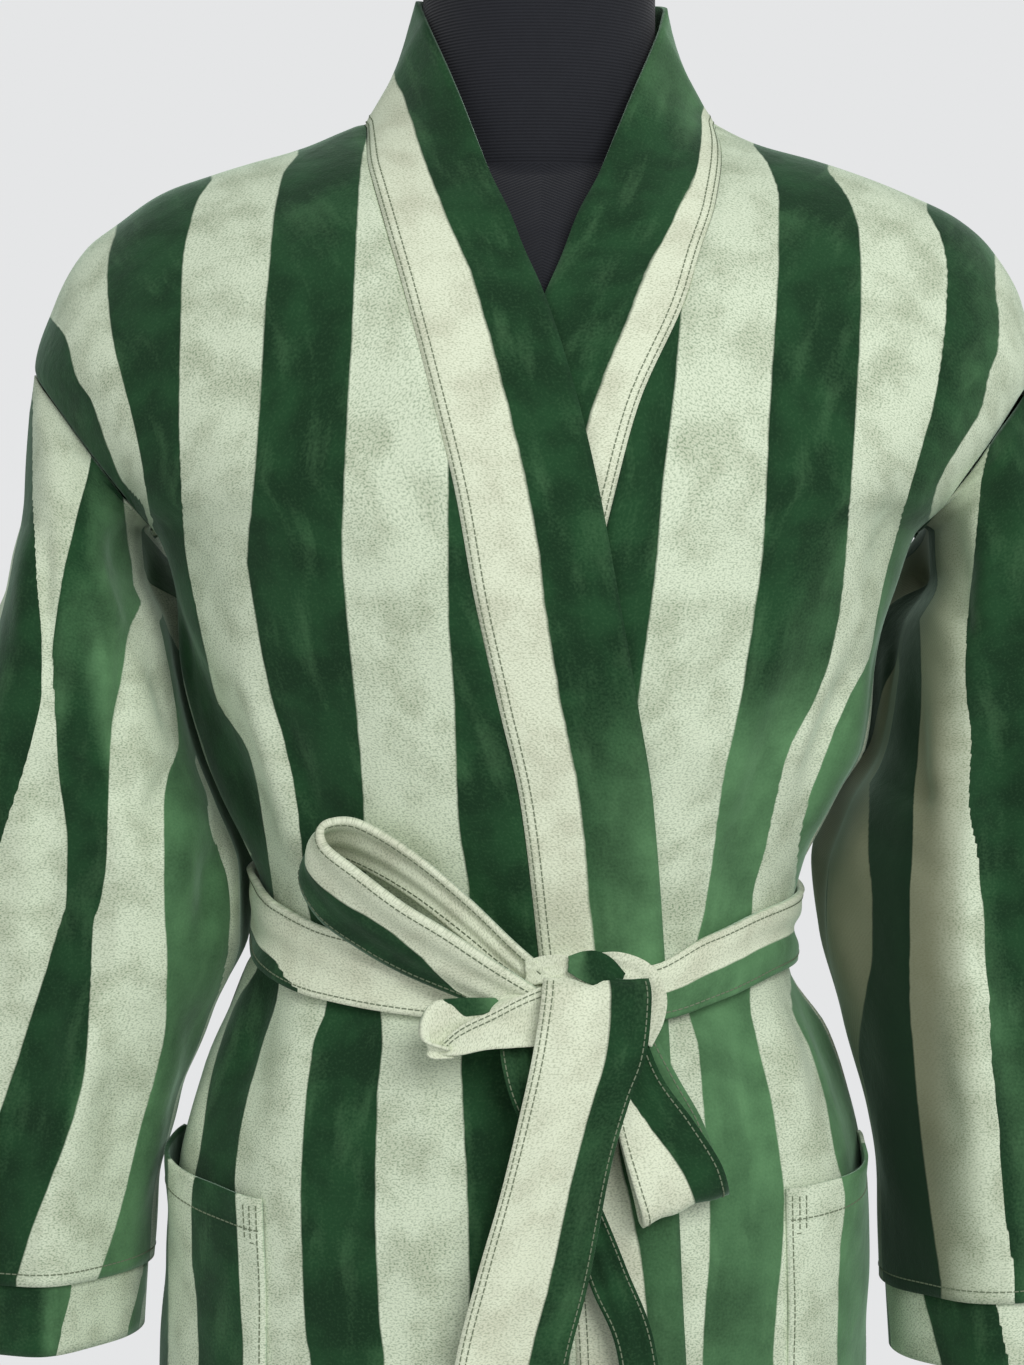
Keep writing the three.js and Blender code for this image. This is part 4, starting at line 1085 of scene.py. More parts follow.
def two_toned(place: Array, cream: Array) -> Array:
    """Return the stripe count of a strip that is cream up to a share and green beyond it."""
    return np.where(
        place < cream, 0.5 + 0.5 * place / cream, 1 + 0.5 * (place - cream) / (1 - cream)
    )


def edge_at(table: Pairs, z: Array) -> Array:
    """Return an edge's X at a height."""
    rows = np.asarray(table, float)
    return through(rows[:, 0], rows[:, 1], z)


def seam_turn(seam: Pairs, side: Side) -> Array:
    """Return the turn of the neckband's seam on every row of a front."""
    z, steps = body_levels()
    turn = CLOTH.outline.front_turn(edge_at(seam, z), z)
    ridge = math.pi if side is Side.LEFT else 2 * math.pi
    before = int(np.flatnonzero(steps >= ARMHOLE_STEPS - 1)[0])
    share = np.clip(steps - (ARMHOLE_STEPS - 1), 0, 1)
    return np.where(share > 0, mix(turn[before], ridge, share), turn)


BODY_STRIPES = {}
BODY_STRIPES[Side.LEFT] = StripeChart(
    (
        ((448, 150), (448, 599), (454, 701), (458, 820), (469, 900), (461, 1056), (463, 1116),
         (467, 1190), (469, 1265)),
        ((370, 127), (362, 164), (357, 243), (352, 350), (346, 457), (343, 546), (348, 618),
         (352, 660), (363, 780), (368, 900), (381, 1011), (383, 1041), (378, 1097), (376, 1190),
         (379, 1302), (385, 1360)),
        ((300, 154), (284, 175), (275, 218), (271, 261), (266, 314), (261, 404), (254, 493),
         (248, 557), (254, 600), (264, 660), (273, 700), (287, 750), (297, 800), (308, 900),
         (328, 1004), (315, 1041), (306, 1112), (302, 1189), (306, 1328), (312, 1360)),
        ((214, 180), (200, 200), (191, 229), (185, 261), (183, 314), (181, 421), (183, 493),
         (189, 564), (196, 600), (207, 650), (219, 700), (250, 750), (262, 800), (281, 982),
         (263, 1050), (244, 1121), (237, 1177), (240, 1250), (245, 1350)),
        ((120, 229), (112, 254), (110, 280), (113, 325), (120, 360), (134, 414), (143, 455),
         (149, 494), (156, 530), (171, 579), (178, 620), (182, 655), (194, 709), (208, 753),
         (222, 794), (240, 830), (256, 859), (264, 957), (238, 1004), (213, 1081), (203, 1149),
         (194, 1200), (194, 1250), (199, 1300), (201, 1350)),
        ((10, 229), (54, 317), (63, 327), (70, 337), (74, 351), (77, 366), (82, 380), (97, 403),
         (104, 425), (113, 450), (127, 482), (145, 501), (156, 535), (163, 560), (172, 582)),
    ),
    -1,
)
BODY_STRIPES[Side.RIGHT] = StripeChart(
    (
        ((682, 307), (675, 387), (671, 420), (663, 484), (657, 560), (647, 637), (638, 703)),
        ((753, 146), (768, 165), (778, 196), (778, 253), (774, 330), (768, 425), (763, 540),
         (753, 617), (740, 700), (723, 780), (706, 900), (686, 1000), (698, 1050), (702, 1100),
         (709, 1200), (709, 1250), (705, 1300), (702, 1350)),
        ((826, 171), (849, 203), (858, 234), (860, 291), (856, 387), (849, 502), (841, 597),
         (830, 655), (814, 700), (788, 750), (775, 800), (764, 850), (751, 900), (749, 1000),
         (758, 1050), (770, 1100), (778, 1150), (783, 1200), (781, 1250), (776, 1300), (772, 1350)),
        ((925, 211), (941, 242), (946, 272), (943, 330), (933, 399), (921, 444), (899, 521),
         (883, 578), (875, 617), (868, 655), (845, 700), (824, 750), (806, 800), (795, 850),
         (788, 1000), (808, 1050), (823, 1100), (832, 1150), (843, 1200), (838, 1250), (836, 1300),
         (835, 1350)),
        ((992, 291), (996, 322), (994, 352), (986, 373), (978, 409), (961, 438), (945, 464),
         (933, 489), (924, 526), (915, 560), (891, 600)),
    ),
    1,
)


@dataclass(frozen=True)
class FrontPanels:
    """The two fronts, from the neckband's seams to the side seams and armholes."""

    columns: int = 96
    fan_bow: float = 1.7

    def make(self, side: Side) -> tuple[Piece, float]:
        """Build one front.

        Args:
            side: The viewer's side that it lies on.

        Returns:
            The piece and its area in square metres.
        """
        z, steps = body_levels()
        fan = steps / ARMHOLE_STEPS
        inward = 1 if side is Side.LEFT else -1
        edge_turn, edge_z = armhole(steps, side, False)
        ridge = math.pi if side is Side.LEFT else 2 * math.pi
        edge_turn = np.where(steps > 0, edge_turn, ridge)
        edge_z = np.where(steps > 0, edge_z, z)
        start = seam_turn(OVER_SEAM if side is Side.LEFT else UNDER_SEAM, side) - inward * HALF_GAP_TURN
        end = edge_turn + inward * HALF_GAP_TURN
        even = np.linspace(0, 1, self.columns + 1)
        share = mix(even, smooth(0, 1, even), 0.3)[None, :]
        turn = mix(start[:, None], end[:, None], share)
        level = mix(z[:, None], edge_z[:, None], share ** mix(1, self.fan_bow, fan)[:, None])
        grid = CLOTH.lifted(turn, level, lap(turn, side))
        keep = smooth(0, FLAT_BY_SEAM, distance(grid, grid[:, -1:]))
        keep = keep * smooth(0, FLAT_BY_SEAM, distance(grid, grid[:, :1]))
        node = "robe_front_over" if side is Side.LEFT else "robe_front_under"
        piece = body_panel(node, grid, keep, 1.0 + side.value)
        piece.striped(BODY_STRIPES[side])
        return piece.make(VELVET, node), piece.area()


@dataclass(frozen=True)
class BackPanel:
    """The back, from side seam to side seam and up to the shoulders' ridge.

    Its stripes go round the body below the underarm and straight up from the share
    straight_from of the armhole.
    """

    columns: int = 168
    neck_share: float = 5 / 12
    bow: float = 2.0
    rise: float = 0.8
    shoulder_bow: float = 1.7
    stripes: int = 12
    straight_from: float = 0.8

    def make(self) -> tuple[Piece, float]:
        """Build the back and return it with its area in square metres."""
        seam_z, steps = body_levels()
        fan = steps[:, None] / ARMHOLE_STEPS
        risen = mix(UNDERARM_Z, BACK_NECK_Z, (steps / ARMHOLE_STEPS) ** self.rise)
        middle = np.where(steps > 0, risen, seam_z)
        t = np.linspace(-1, 1, self.columns + 1)[None, :]
        away = np.abs(t)
        gap = HALF_GAP_TURN
        left_turn, left_z = armhole(steps, Side.LEFT, True)
        right_turn, right_z = armhole(steps, Side.RIGHT, True)
        left_turn = np.where(steps > 0, left_turn, math.pi)[:, None] - gap
        right_turn = np.where(steps > 0, right_turn, 0)[:, None] + gap
        left_z = np.where(steps > 0, left_z, seam_z)[:, None]
        right_z = np.where(steps > 0, right_z, seam_z)[:, None]
        edge_turn = np.where(t < 0, left_turn, right_turn)
        edge_z = np.where(t < 0, left_z, right_z)
        ridge = np.where(t < 0, math.pi, 0)
        middle = middle[:, None]
        even_turn = mix(math.pi / 2, edge_turn, away)
        even_z = mix(middle, edge_z, away**self.bow)
        neck = np.minimum(1, away / self.neck_share)
        beyond = np.maximum(0, (away - self.neck_share) / (1 - self.neck_share))
        inside = away < self.neck_share
        top_turn = np.where(inside, mix(math.pi / 2, ridge, neck), mix(ridge, edge_turn, beyond))
        top_z = np.where(
            inside,
            mix(middle, SHOULDER_NECK_Z, neck**self.bow),
            mix(SHOULDER_NECK_Z, edge_z, beyond**self.shoulder_bow),
        )
        blend = fan**3
        turn = np.clip(mix(even_turn, top_turn, blend), gap, math.pi - gap)
        level = mix(even_z, top_z, blend)
        grid = CLOTH.lifted(turn, level)
        sides = np.minimum(distance(grid, grid[:, -1:]), distance(grid, grid[:, :1]))
        top = distance(grid, grid[-1:, :])
        keep = smooth(0, FLAT_BY_SEAM, sides) * smooth(0, FLAT_BY_SEAM, top)
        piece = body_panel("robe_back", grid, keep, 3.0)
        arcs = np.stack([lengths_along(row) for row in piece.grid * np.array([1, 1, 0])])
        width = arcs[:, -1:] / self.stripes
        width = np.where(steps[:, None] > 0, width[np.flatnonzero(steps == 0)[-1]], width)
        turning = (arcs - arcs[:, self.columns // 2][:, None]) / width
        straight = piece.grid[..., 0] / width
        counted = mix(turning, straight, smooth(0, self.straight_from, fan))
        piece.counted(counted + self.stripes / 2 + 0.5)
        return piece.make(VELVET, "robe_back"), piece.area()


@dataclass(frozen=True)
class Neckband:
    """The wide band up the over-front, round the neck and down the under-front.

    A stand's rows are the band's free edge round the neck, one for each armhole step.
    """

    columns: int = 14
    wall: float = 2.6
    first_stand: int = 4
    left_stands: tuple[Triple, ...] = (
        (-11, -97, 1330), (-20, -83, 1350), (-28, -71, 1370), (-38, -57, 1396), (-47, -44, 1418),
        (-56, -26, 1440),
    )
    right_stands: tuple[Triple, ...] = (
        (23, -93, 1330), (34, -79, 1352), (43, -66, 1374), (53, -52, 1398), (61, -38, 1417),
        (69, -20, 1438),
    )
    round_back: tuple[tuple[float, float, float, float], ...] = (
        (180, -56, -26, 1440), (162, -62, 12, 1460), (144, -55, 38, 1465), (126, -38, 57, 1466),
        (108, -17, 67, 1466), (90, 5, 70, 1466), (72, 27, 67, 1466), (54, 48, 57, 1465),
        (36, 65, 38, 1463), (18, 73, 12, 1456), (0, 69, -20, 1438),
    )
    over_cream: Pairs = (
        (200, 0.5), (700, 0.6), (792, 0.67), (834, 0.6), (862, 0.52), (911, 0.48), (986, 0.44),
        (1036, 0.45), (1085, 0.45), (1135, 0.48), (1160, 0.5), (1284, 0.49), (1393, 0.49),
    )
    under_cream: Pairs = (
        (200, 0.4), (1230, 0.3), (1284, 0.3), (1334, 0.25), (1358, 0.2), (1393, 0.2),
    )

    def half(self, side: Side) -> tuple[Array, Array]:
        """Return the grid of one front's band, bottom to top, and its cream shares."""
        z, steps = body_levels()
        over = side is Side.LEFT
        seam = seam_turn(OVER_SEAM if over else UNDER_SEAM, side)
        seam = seam + (1 if over else -1) * HALF_GAP_TURN
        free = CLOTH.outline.front_turn(edge_at(OVER_FREE if over else UNDER_FREE, z), z)
        share = np.linspace(0, 1, self.columns + 1)[None, :]
        turn = mix(seam[:, None], free[:, None], share)
        rise = LAP_RISE if over else 0.0
        level = np.broadcast_to(z[:, None], turn.shape)
        body = CLOTH.lifted(turn, level, mix(lap(seam, side)[:, None], rise, smooth(0, 0.3, share)))
        low = int(np.flatnonzero(steps >= self.first_stand)[0])
        stands = np.vstack([body[low, -1], self.left_stands if over else self.right_stands])
        places = np.arange(self.first_stand, ARMHOLE_STEPS + 1)
        free_line = np.stack([through(places, stands[:, k], steps) for k in range(3)], axis=-1)
        start = body[:, :1]
        straight = start + share[..., None] * (free_line[:, None, :] - start)
        blend = smooth(self.first_stand, self.first_stand + 1, steps)[:, None, None]
        return mix(body, straight, blend), edge_at(self.over_cream if over else self.under_cream, z)

    def behind(self) -> tuple[Array, Array]:
        """Return the grid round the back of the neck, from left to right, and its shares."""
        table = np.asarray(self.round_back, float)
        turns = np.linspace(180, 0, 62)[1:-1]
        free = np.stack([through(-table[:, 0], table[:, k], -turns) for k in (1, 2, 3)], axis=-1)
        seam_z = mix(SHOULDER_NECK_Z, BACK_NECK_Z, 1 - ((turns - 90) / 90) ** 2)
        start = CLOTH.lifted(np.radians(turns), seam_z)
        share = np.linspace(0, 1, self.columns + 1)[None, :, None]
        grid = start[:, None, :] + share * (free - start)[:, None, :]
        return grid, mix(self.over_cream[-1][1], self.under_cream[-1][1], (180 - turns) / 180)

    def make(self) -> tuple[Piece, ClothPiece]:
        """Build the band and return it with its surface."""
        left, left_share = self.half(Side.LEFT)
        back, back_share = self.behind()
        right, right_share = self.half(Side.RIGHT)
        grid = np.concatenate([left, back, right[::-1]])
        cream = np.concatenate([left_share, back_share, right_share[::-1]])[:, None]
        across = np.gradient(grid, axis=1)
        normals = unit(np.cross(across, np.gradient(grid, axis=0)))
        share = np.linspace(0, 1, self.columns + 1)[None, :]
        grid = wavered(grid, normals, 0.4, 30, 5.0)
        grid = seam_groove(grid, normals, (0,), 0.7)
        piece = ClothPiece("neckband_cloth", grid, normals, self.wall)
        piece.counted(two_toned(share, cream))
        return piece.make(BAND_VELVET, "neckband"), piece


@dataclass(frozen=True)
class SleeveRing:
    """One ring of a sleeve: its outer and inner line and its depths."""

    out_x: float
    out_z: float
    in_x: float
    in_z: float
    front: float
    back: float
    mid: float


# Each row is a SleeveRing.
SLEEVE_RINGS = {}
SLEEVE_RINGS[Side.LEFT] = (
    (-266.5, 1238, -202, 1179, 60, 58, 3), (-267.5, 1212, -207, 1174, 69, 64, 2),
    (-269, 1186, -206, 1152, 77, 70, 0), (-275, 1156, -195, 1126, 82, 75, -2),
    (-286, 1122, -188, 1097, 84, 76, -5), (-298, 1080, -179, 1062, 83, 75, -8),
    (-307, 1040, -167, 1030, 79, 73, -10), (-314, 1000, -155, 996, 75, 70, -12),
    (-320, 960, -153, 960, 72, 68, -12), (-325, 918, -169, 918, 74, 70, -12),
    (-330, 872, -187, 872, 77, 73, -12), (-333, 830, -197, 830, 79, 75, -12),
    (-334, 790, -200, 790, 80, 76, -12),
)
SLEEVE_RINGS[Side.RIGHT] = (
    (270.5, 1238, 208, 1179, 60, 58, 3), (272, 1212, 213, 1174, 69, 64, 2),
    (275, 1186, 213, 1152, 77, 70, 0), (281, 1156, 201, 1126, 82, 75, -2),
    (290, 1122, 193, 1097, 84, 76, -5), (300, 1080, 187, 1062, 83, 75, -8),
    (307, 1040, 170, 1030, 81, 74, -10), (313, 1000, 158, 996, 80, 74, -12),
    (318, 960, 157, 960, 79, 74, -12), (322, 918, 166, 916, 79, 74, -12),
    (326, 872, 179, 868, 80, 75, -12), (329, 830, 184, 824, 80, 76, -12),
    (331, 786, 185, 779, 80, 76, -12),
)
SLEEVE_STRIPES, CUFF_STRIPES = {}, {}
SLEEVE_STRIPES[Side.LEFT] = StripeChart(
    (
        ((32, 500), (36, 577), (42, 650), (42, 690), (34, 730), (0, 839), (-20, 900), (-45, 1000),
         (-70, 1109), (-90, 1280)),
        ((93, 442), (88, 472), (79, 505), (70, 541), (62, 575), (56, 610), (52, 640),
         (51, 666), (53, 701), (58, 774), (67, 844), (66, 900), (59, 926), (40, 988), (19, 1053),
         (0, 1109), (-25, 1180), (-45, 1285)),
        ((122, 500), (128, 551), (140, 600), (128, 630), (120, 679), (110, 730), (107, 793),
         (105, 857), (99, 900), (91, 926), (88, 1004), (84, 1066), (73, 1115), (46, 1189),
         (28, 1236), (15, 1279)),
        ((185, 515), (181, 600), (170, 640), (172, 690), (177, 742), (165, 780), (162, 806),
         (162, 900), (165, 957), (164, 1019), (152, 1081), (139, 1127), (124, 1189), (108, 1245),
         (93, 1285)),
        ((214, 700), (205, 790), (208, 829), (217, 850), (228, 900), (227, 942), (222, 973),
         (216, 1000), (208, 1050), (187, 1100), (168, 1150), (159, 1200), (155, 1254)),
    ),
    1,
    round_a_tube=True,
)
SLEEVE_STRIPES[Side.RIGHT] = StripeChart(
    (
        ((800, 600), (790, 900), (800, 1290)),
        ((880, 560), (884, 700), (870, 770), (868, 850), (872, 900), (872, 950), (864, 1000),
         (858, 1050), (858, 1115), (862, 1244), (868, 1288)),
        ((915, 560), (920, 685), (916, 760), (912, 800), (911, 850), (908, 900), (908, 1000),
         (912, 1050), (916, 1100), (927, 1193), (940, 1283)),
        ((990, 440), (980, 480), (976, 520), (972, 560), (966, 620), (964, 680), (970, 740),
         (968, 800), (976, 850), (981, 900), (984, 950), (988, 1000), (990, 1050), (996, 1110),
         (1005, 1218), (1014, 1274)),
    ),
    1,
    round_a_tube=True,
)
CUFF_STRIPES[Side.LEFT] = StripeChart(
    (((71, 1288), (56, 1352)), ((144, 1267), (127, 1333)), ((153, 1267), (136, 1333))),
    1,
    round_a_tube=True,
)
CUFF_STRIPES[Side.RIGHT] = StripeChart(
    (((850, 1288), (860, 1365)), ((922, 1293), (941, 1365)), ((992, 1283), (1009, 1365))),
    1,
    round_a_tube=True,
)

SLEEVE_CREASES = tuple(Crease(*row) for row in (
    (((38, 505), (44, 590), (50, 670), (54, 700)), 7, -4.5),
    (((24, 520), (28, 600), (34, 690)), 8, 3.5),
    (((60, 560), (62, 640), (60, 720)), 8, 3),
    (((114, 520), (132, 580), (150, 640)), 7, -5),
    (((140, 600), (128, 660), (118, 720), (112, 790)), 8, -3.5),
    (((150, 640), (166, 700), (178, 745)), 6, -4),
    (((105, 640), (96, 720), (84, 800)), 9, 3),
    (((176, 760), (160, 800), (152, 850)), 7, -4),
    (((198, 800), (182, 850), (176, 920)), 8, 3.5),
    (((235, 830), (212, 870), (205, 940)), 7, -4),
    (((120, 760), (132, 800), (150, 840)), 7, -3),
    (((66, 760), (90, 790), (126, 800)), 7, -2.5),
    (((30, 740), (44, 800), (50, 880), (40, 960)), 10, -3.5),
    (((90, 930), (84, 1010), (70, 1100), (48, 1180)), 11, 3),
    (((128, 950), (124, 1040), (108, 1130), (84, 1230)), 11, -3.5),
    (((170, 960), (166, 1050), (150, 1140), (132, 1230)), 9, 3),
    (((204, 990), (192, 1070), (176, 1140)), 8, -2.5),
    (((970, 480), (985, 560), (988, 640)), 8, 3),
    (((920, 560), (945, 600), (975, 640)), 7, -4),
    (((945, 500), (958, 570), (968, 640)), 7, -3),
    (((890, 640), (893, 700), (884, 745)), 5, 3.5),
    (((905, 640), (915, 720), (925, 820)), 7, -4),
    (((870, 760), (905, 790), (950, 800)), 7, -3),
    (((860, 830), (900, 850), (945, 880)), 8, -2.5),
    (((935, 700), (945, 800), (950, 900)), 9, 3),
    (((990, 700), (998, 800), (1005, 900)), 9, -3),
    (((885, 950), (890, 1050), (895, 1160), (905, 1250)), 10, 3),
    (((925, 960), (935, 1060), (950, 1180)), 11, -3.5),
    (((965, 960), (975, 1080), (985, 1200)), 10, 3),
    (((1005, 1000), (1010, 1100), (1015, 1200)), 9, -2.5),
))


class Sleeve:
    """A drop sleeve with the cuff band set inside its hem."""

    AROUND = 160
    FOLDS = 5
    FOLD_DEPTH = 6.5
    FOLD_START = 0.5
    FOLD_DRIFT = 0.16
    FOLD_RINGS = (0, 6)
    FOLD_SIDE = (-1, -0.2)
    ROWS_EACH = 10
    TUCK = 32.0
    TUCK_STARTS = (0, 3)
    TUCK_ENDS = (10, 7)
    TUCK_BACK = (0.05, 0.95)
    TUCK_INNER = (0.6, -0.5)
    CLOSER = 0.4
    EASE_ROWS = 5
    SHADE = 0.12
    LIT = (1180.0, 1070.0)
    CUFF_TUCK = 12
    CUFF_SHOWS = 36

    def __init__(self, side: Side) -> None:
        """Read the sleeve's rings and lay its columns from the inner line round."""
        self.side = side
        self.rings = [SleeveRing(*row) for row in SLEEVE_RINGS[side]]
        way = 1 if side is Side.LEFT else -1
        even = -way * np.pi + way * 2 * np.pi * np.arange(self.AROUND) / self.AROUND
        self.around = even + self.CLOSER * (1 + np.cos(even))
        self.name = "left" if side is Side.LEFT else "right"

    def size(self, key: str, k: Array) -> Array:
        """Return one of the rings' sizes between rings."""
        return through(np.arange(len(self.rings)), [getattr(ring, key) for ring in self.rings], k)

    def ring(self, k: Array) -> Array:
        """Return the points of the rings at the places k down the table."""
        k = np.asarray(k, float)[:, None]
        c, s = np.cos(self.around)[None, :], np.sin(self.around)[None, :]
        deep = smooth(*self.FOLD_RINGS, k) * self.FOLD_DEPTH
        wave = np.cos(self.FOLDS * self.around[None, :] + self.FOLD_START + self.FOLD_DRIFT * k)
        front = self.size("front", k)
        fold = 1 + deep * smooth(*self.FOLD_SIDE, c) * wave / front
        in_x, out_x = self.size("in_x", k), self.size("out_x", k)
        x = mix(in_x, out_x, (1 + c) / 2)
        z = mix(self.size("in_z", k), self.size("out_z", k), (1 + c) / 2)
        middle = (in_x + out_x) / 2
        depth = -np.where(s > 0, front, self.size("back", k)) * s
        here = smooth(*self.TUCK_STARTS, k) * smooth(*self.TUCK_ENDS, k)
        tuck = self.TUCK * here * smooth(*self.TUCK_BACK, -s) * smooth(*self.TUCK_INNER, c)
        across = middle + (x - middle) * fold - self.side.value * tuck
        return np.stack([across, self.size("mid", k) + depth * fold, z], axis=-1)

    def seam(self) -> Array:
        """Return the armhole seam's points at the sleeve's columns."""
        place = (self.around % (2 * np.pi)) / (2 * np.pi) * 2 * ARMHOLE_STEPS
        back = place > ARMHOLE_STEPS
        step = np.abs(ARMHOLE_STEPS - place)
        points = np.zeros((self.AROUND, 3))
        for half in (False, True):
            turn, z = armhole(step, self.side, half)
            points = np.where((back == half)[:, None], CLOTH.point(turn, z), points)
        return points

    def surface(self) -> tuple[Array, Array]:
        """Return the sleeve's grid from the seam to the hem, and its normals."""
        last = len(self.rings) - 1
        k = np.linspace(0, last, last * self.ROWS_EACH + 1)
        rings = self.ring(k)
        seam = self.seam()
        seam = seam + unit(rings[0] - seam) * SEAM_GAP
        ease = np.linspace(0, 1, self.EASE_ROWS + 1)[:-1, None, None]
        grid = np.concatenate([seam + ease * (rings[0] - seam), rings])
        normals = grid_normals(grid, True, grid.mean(axis=1))
        return grid, normals

    def make(self) -> tuple[Piece, ClothPiece]:
        """Build the sleeve and return it with its surface."""
        grid, normals = self.surface()
        ends = np.minimum(distance(grid, grid[:1]), distance(grid, grid[-1:]))
        grid = creased(grid, normals, SLEEVE_CREASES, 1.25 * smooth(0, 25, ends))
        grid = wavered(grid, normals, 0.7, 30, 7.0 + self.side.value)
        piece = ClothPiece(f"sleeve_{self.name}_cloth", grid, normals, CLOTH_WALL, closed=True)
        piece.striped(SLEEVE_STRIPES[self.side])
        px = VIEW.pixels(grid)
        if self.side is Side.LEFT:
            piece.shade = 0.22 * smooth(-0.2, 0.4, normals[..., 0]) * smooth(130, 175, px[..., 0])
        else:
            piece.shade = 0.8 * smooth(990, 925, px[..., 0]) * smooth(470, 560, px[..., 1])
        piece.shade = piece.shade + self.SHADE
        piece.lit = self.LIT
        return piece.make(VELVET, f"sleeve_{self.name}"), piece

    def make_cuff(self) -> tuple[Piece, ClothPiece]:
        """Build the cuff band and return it with its surface."""
        grid, normals = self.surface()
        hem, out = grid[-1], normals[-1]
        rise = np.linspace(self.CUFF_TUCK, -self.CUFF_SHOWS, 11)[:, None, None]
        narrow = 2.8 - 0.06 * np.minimum(0, rise)
        rows = hem[None] - out[None] * narrow
        rows = rows + rise * np.array([0, 0, 1.0])
        normals = grid_normals(rows, True, rows.mean(axis=1))
        piece = ClothPiece(f"cuff_{self.name}_cloth", rows, normals, CLOTH_WALL, closed=True)
        piece.striped(CUFF_STRIPES[self.side])
        return piece.make(VELVET, f"cuff_{self.name}"), piece


@dataclass(frozen=True)
class Pocket:
    """A patch pocket with a slanted opening that stands away from the front."""

    side: Side
    inner_x: float
    outer_turn: float
    inner_z: float
    outer_z: float
    bottom_z: float = 690.0
    gape: float = 7.0
    off: float = 1.4
    dip: float = 1.2
    top_bow: float = 1.6
    tack_rows: int = 10
    tack_width: float = 11.0

    def make(self) -> tuple[Piece, ClothPiece]:
        """Build the pocket and return it with its surface."""
        across = np.linspace(0, 1, 41)[None, :]
        up = np.linspace(0, 1, 61)[:, None]
        top = mix(self.inner_z, self.outer_z, across**self.top_bow)
        z = mix(self.bottom_z, top, up)
        low = CLOTH.outline.front_turn(self.inner_x, self.bottom_z)
        now = CLOTH.outline.front_turn(self.inner_x, z)
        turn = mix(mix(low, now, up), math.radians(self.outer_turn), across)
        stand = self.gape * up**4 * np.sin(np.pi * across)
        edge = np.minimum(np.minimum(across, 1 - across) * 12, np.minimum(up * 20, 1))
        off = self.off + CLOTH_WALL + stand - self.dip * (1 - np.clip(edge, 0, 1)) ** 2
        grid = CLOTH.lifted(turn, z, lap(turn, self.side) + off)
        normals = grid_normals(grid, False, INSIDE)
        grid = wavered(grid, normals, 0.4, 24, 9.0)
        name = "left" if self.side is Side.LEFT else "right"
        piece = ClothPiece(f"pocket_{name}_cloth", grid, normals, CLOTH_WALL)
        piece.striped(BODY_STRIPES[self.side])
        return piece.make(VELVET, f"pocket_{name}"), piece

    def bar_tack(self, piece: ClothPiece) -> list["StitchLine"]:
        """Return the small stitched box at the opening's inner corner."""
        rows = slice(-self.tack_rows, None)
        near, far = stitch_along(piece, 3), stitch_along(piece, self.tack_width)
        middle = stitch_along(piece, (3 + self.tack_width) / 2)
        lines = [StitchLine(line.points[rows], line.normals[rows]) for line in (middle, far)]
        foot = np.linspace(near.points[-self.tack_rows], far.points[-self.tack_rows], 6)
        out = np.linspace(near.normals[-self.tack_rows], far.normals[-self.tack_rows], 6)
        return [*lines, StitchLine(foot, out)]


POCKETS = (
    Pocket(Side.LEFT, -131, 184, 837, 860),
    Pocket(Side.RIGHT, 127, 356, 841, 857),
)


@dataclass(frozen=True)
class BeltTurn:
    """The belt's middle height, standing height and green share at a turn in degrees."""

    turn: float
    z: float
    height: float
    green: float


@dataclass(frozen=True)
class Belt:
    """The double belt round the waist, scrunched into soft lengthwise folds."""

    turns: tuple[BeltTurn, ...] = tuple(BeltTurn(*row) for row in (
        (0, 968, 38, 0.4), (45, 980, 44, 0.36), (90, 985, 46, 0.34),
        (135, 984, 44, 0.3), (180, 979, 38, 0.18), (205, 962, 38, 0.22),
        (221, 951, 37, -0.08), (262, 939, 30, -0.08), (276, 938, 27, 0.4),
        (298, 938, 28, 0.45), (315, 950, 36, 0.45), (335, 962, 37, 0.45),
        (360, 968, 38, 0.4),
    ))
    lap_starts: tuple[float, float] = (190, 205)
    lap_ends: tuple[float, float] = (330, 310)
    wall: float = 3.4
    gap: float = 2.0
    belly: float = 0.8
    columns: int = 240
    rows: int = 18

    def make(self) -> tuple[Piece, ClothPiece]:
        """Build the belt and return it with its surface."""
        marks = [t.turn for t in self.turns]
        degrees = np.linspace(0, 360, self.columns, endpoint=False)[None, :]
        level = np.linspace(0, 1, self.rows + 1)[:, None]
        middle = through(marks, [t.z for t in self.turns], degrees)
        height = through(marks, [t.height for t in self.turns], degrees)
        green = through(marks, [t.green for t in self.turns], np.append(degrees, 360)[None, :])
        z = middle + height * (level - 0.5)
        off = LAP_RISE * smooth(*self.lap_starts, degrees) * smooth(*self.lap_ends, degrees)
        bowed = self.belly * (1 - (2 * level - 1) ** 2)
        turn = np.radians(degrees)
        drift = 1.4 * np.sin(2 * turn + 0.6) + 0.8 * np.sin(5 * turn)
        ripple = np.sin(2 * np.pi * 1.7 * level + drift) * np.sin(np.pi * level) ** 0.6
        folds = (1.1 + 0.5 * np.sin(3 * turn + 1)) * ripple
        z, turn = np.broadcast_arrays(z, turn)
        grid = CLOTH.lifted(turn, z, off + self.gap + self.wall + bowed + folds)
        normals = grid_normals(grid, True, grid.mean(axis=1))
        piece = ClothPiece("belt_waist_cloth", grid, normals, self.wall, closed=True)
        counted = np.where(
            level < green, 1 + 0.5 * (green - level) / green, 1 - 0.5 * (level - green) / (1 - green)
        )
        piece.counted(counted)
        return piece.make(BAND_VELVET, "belt_waist"), piece


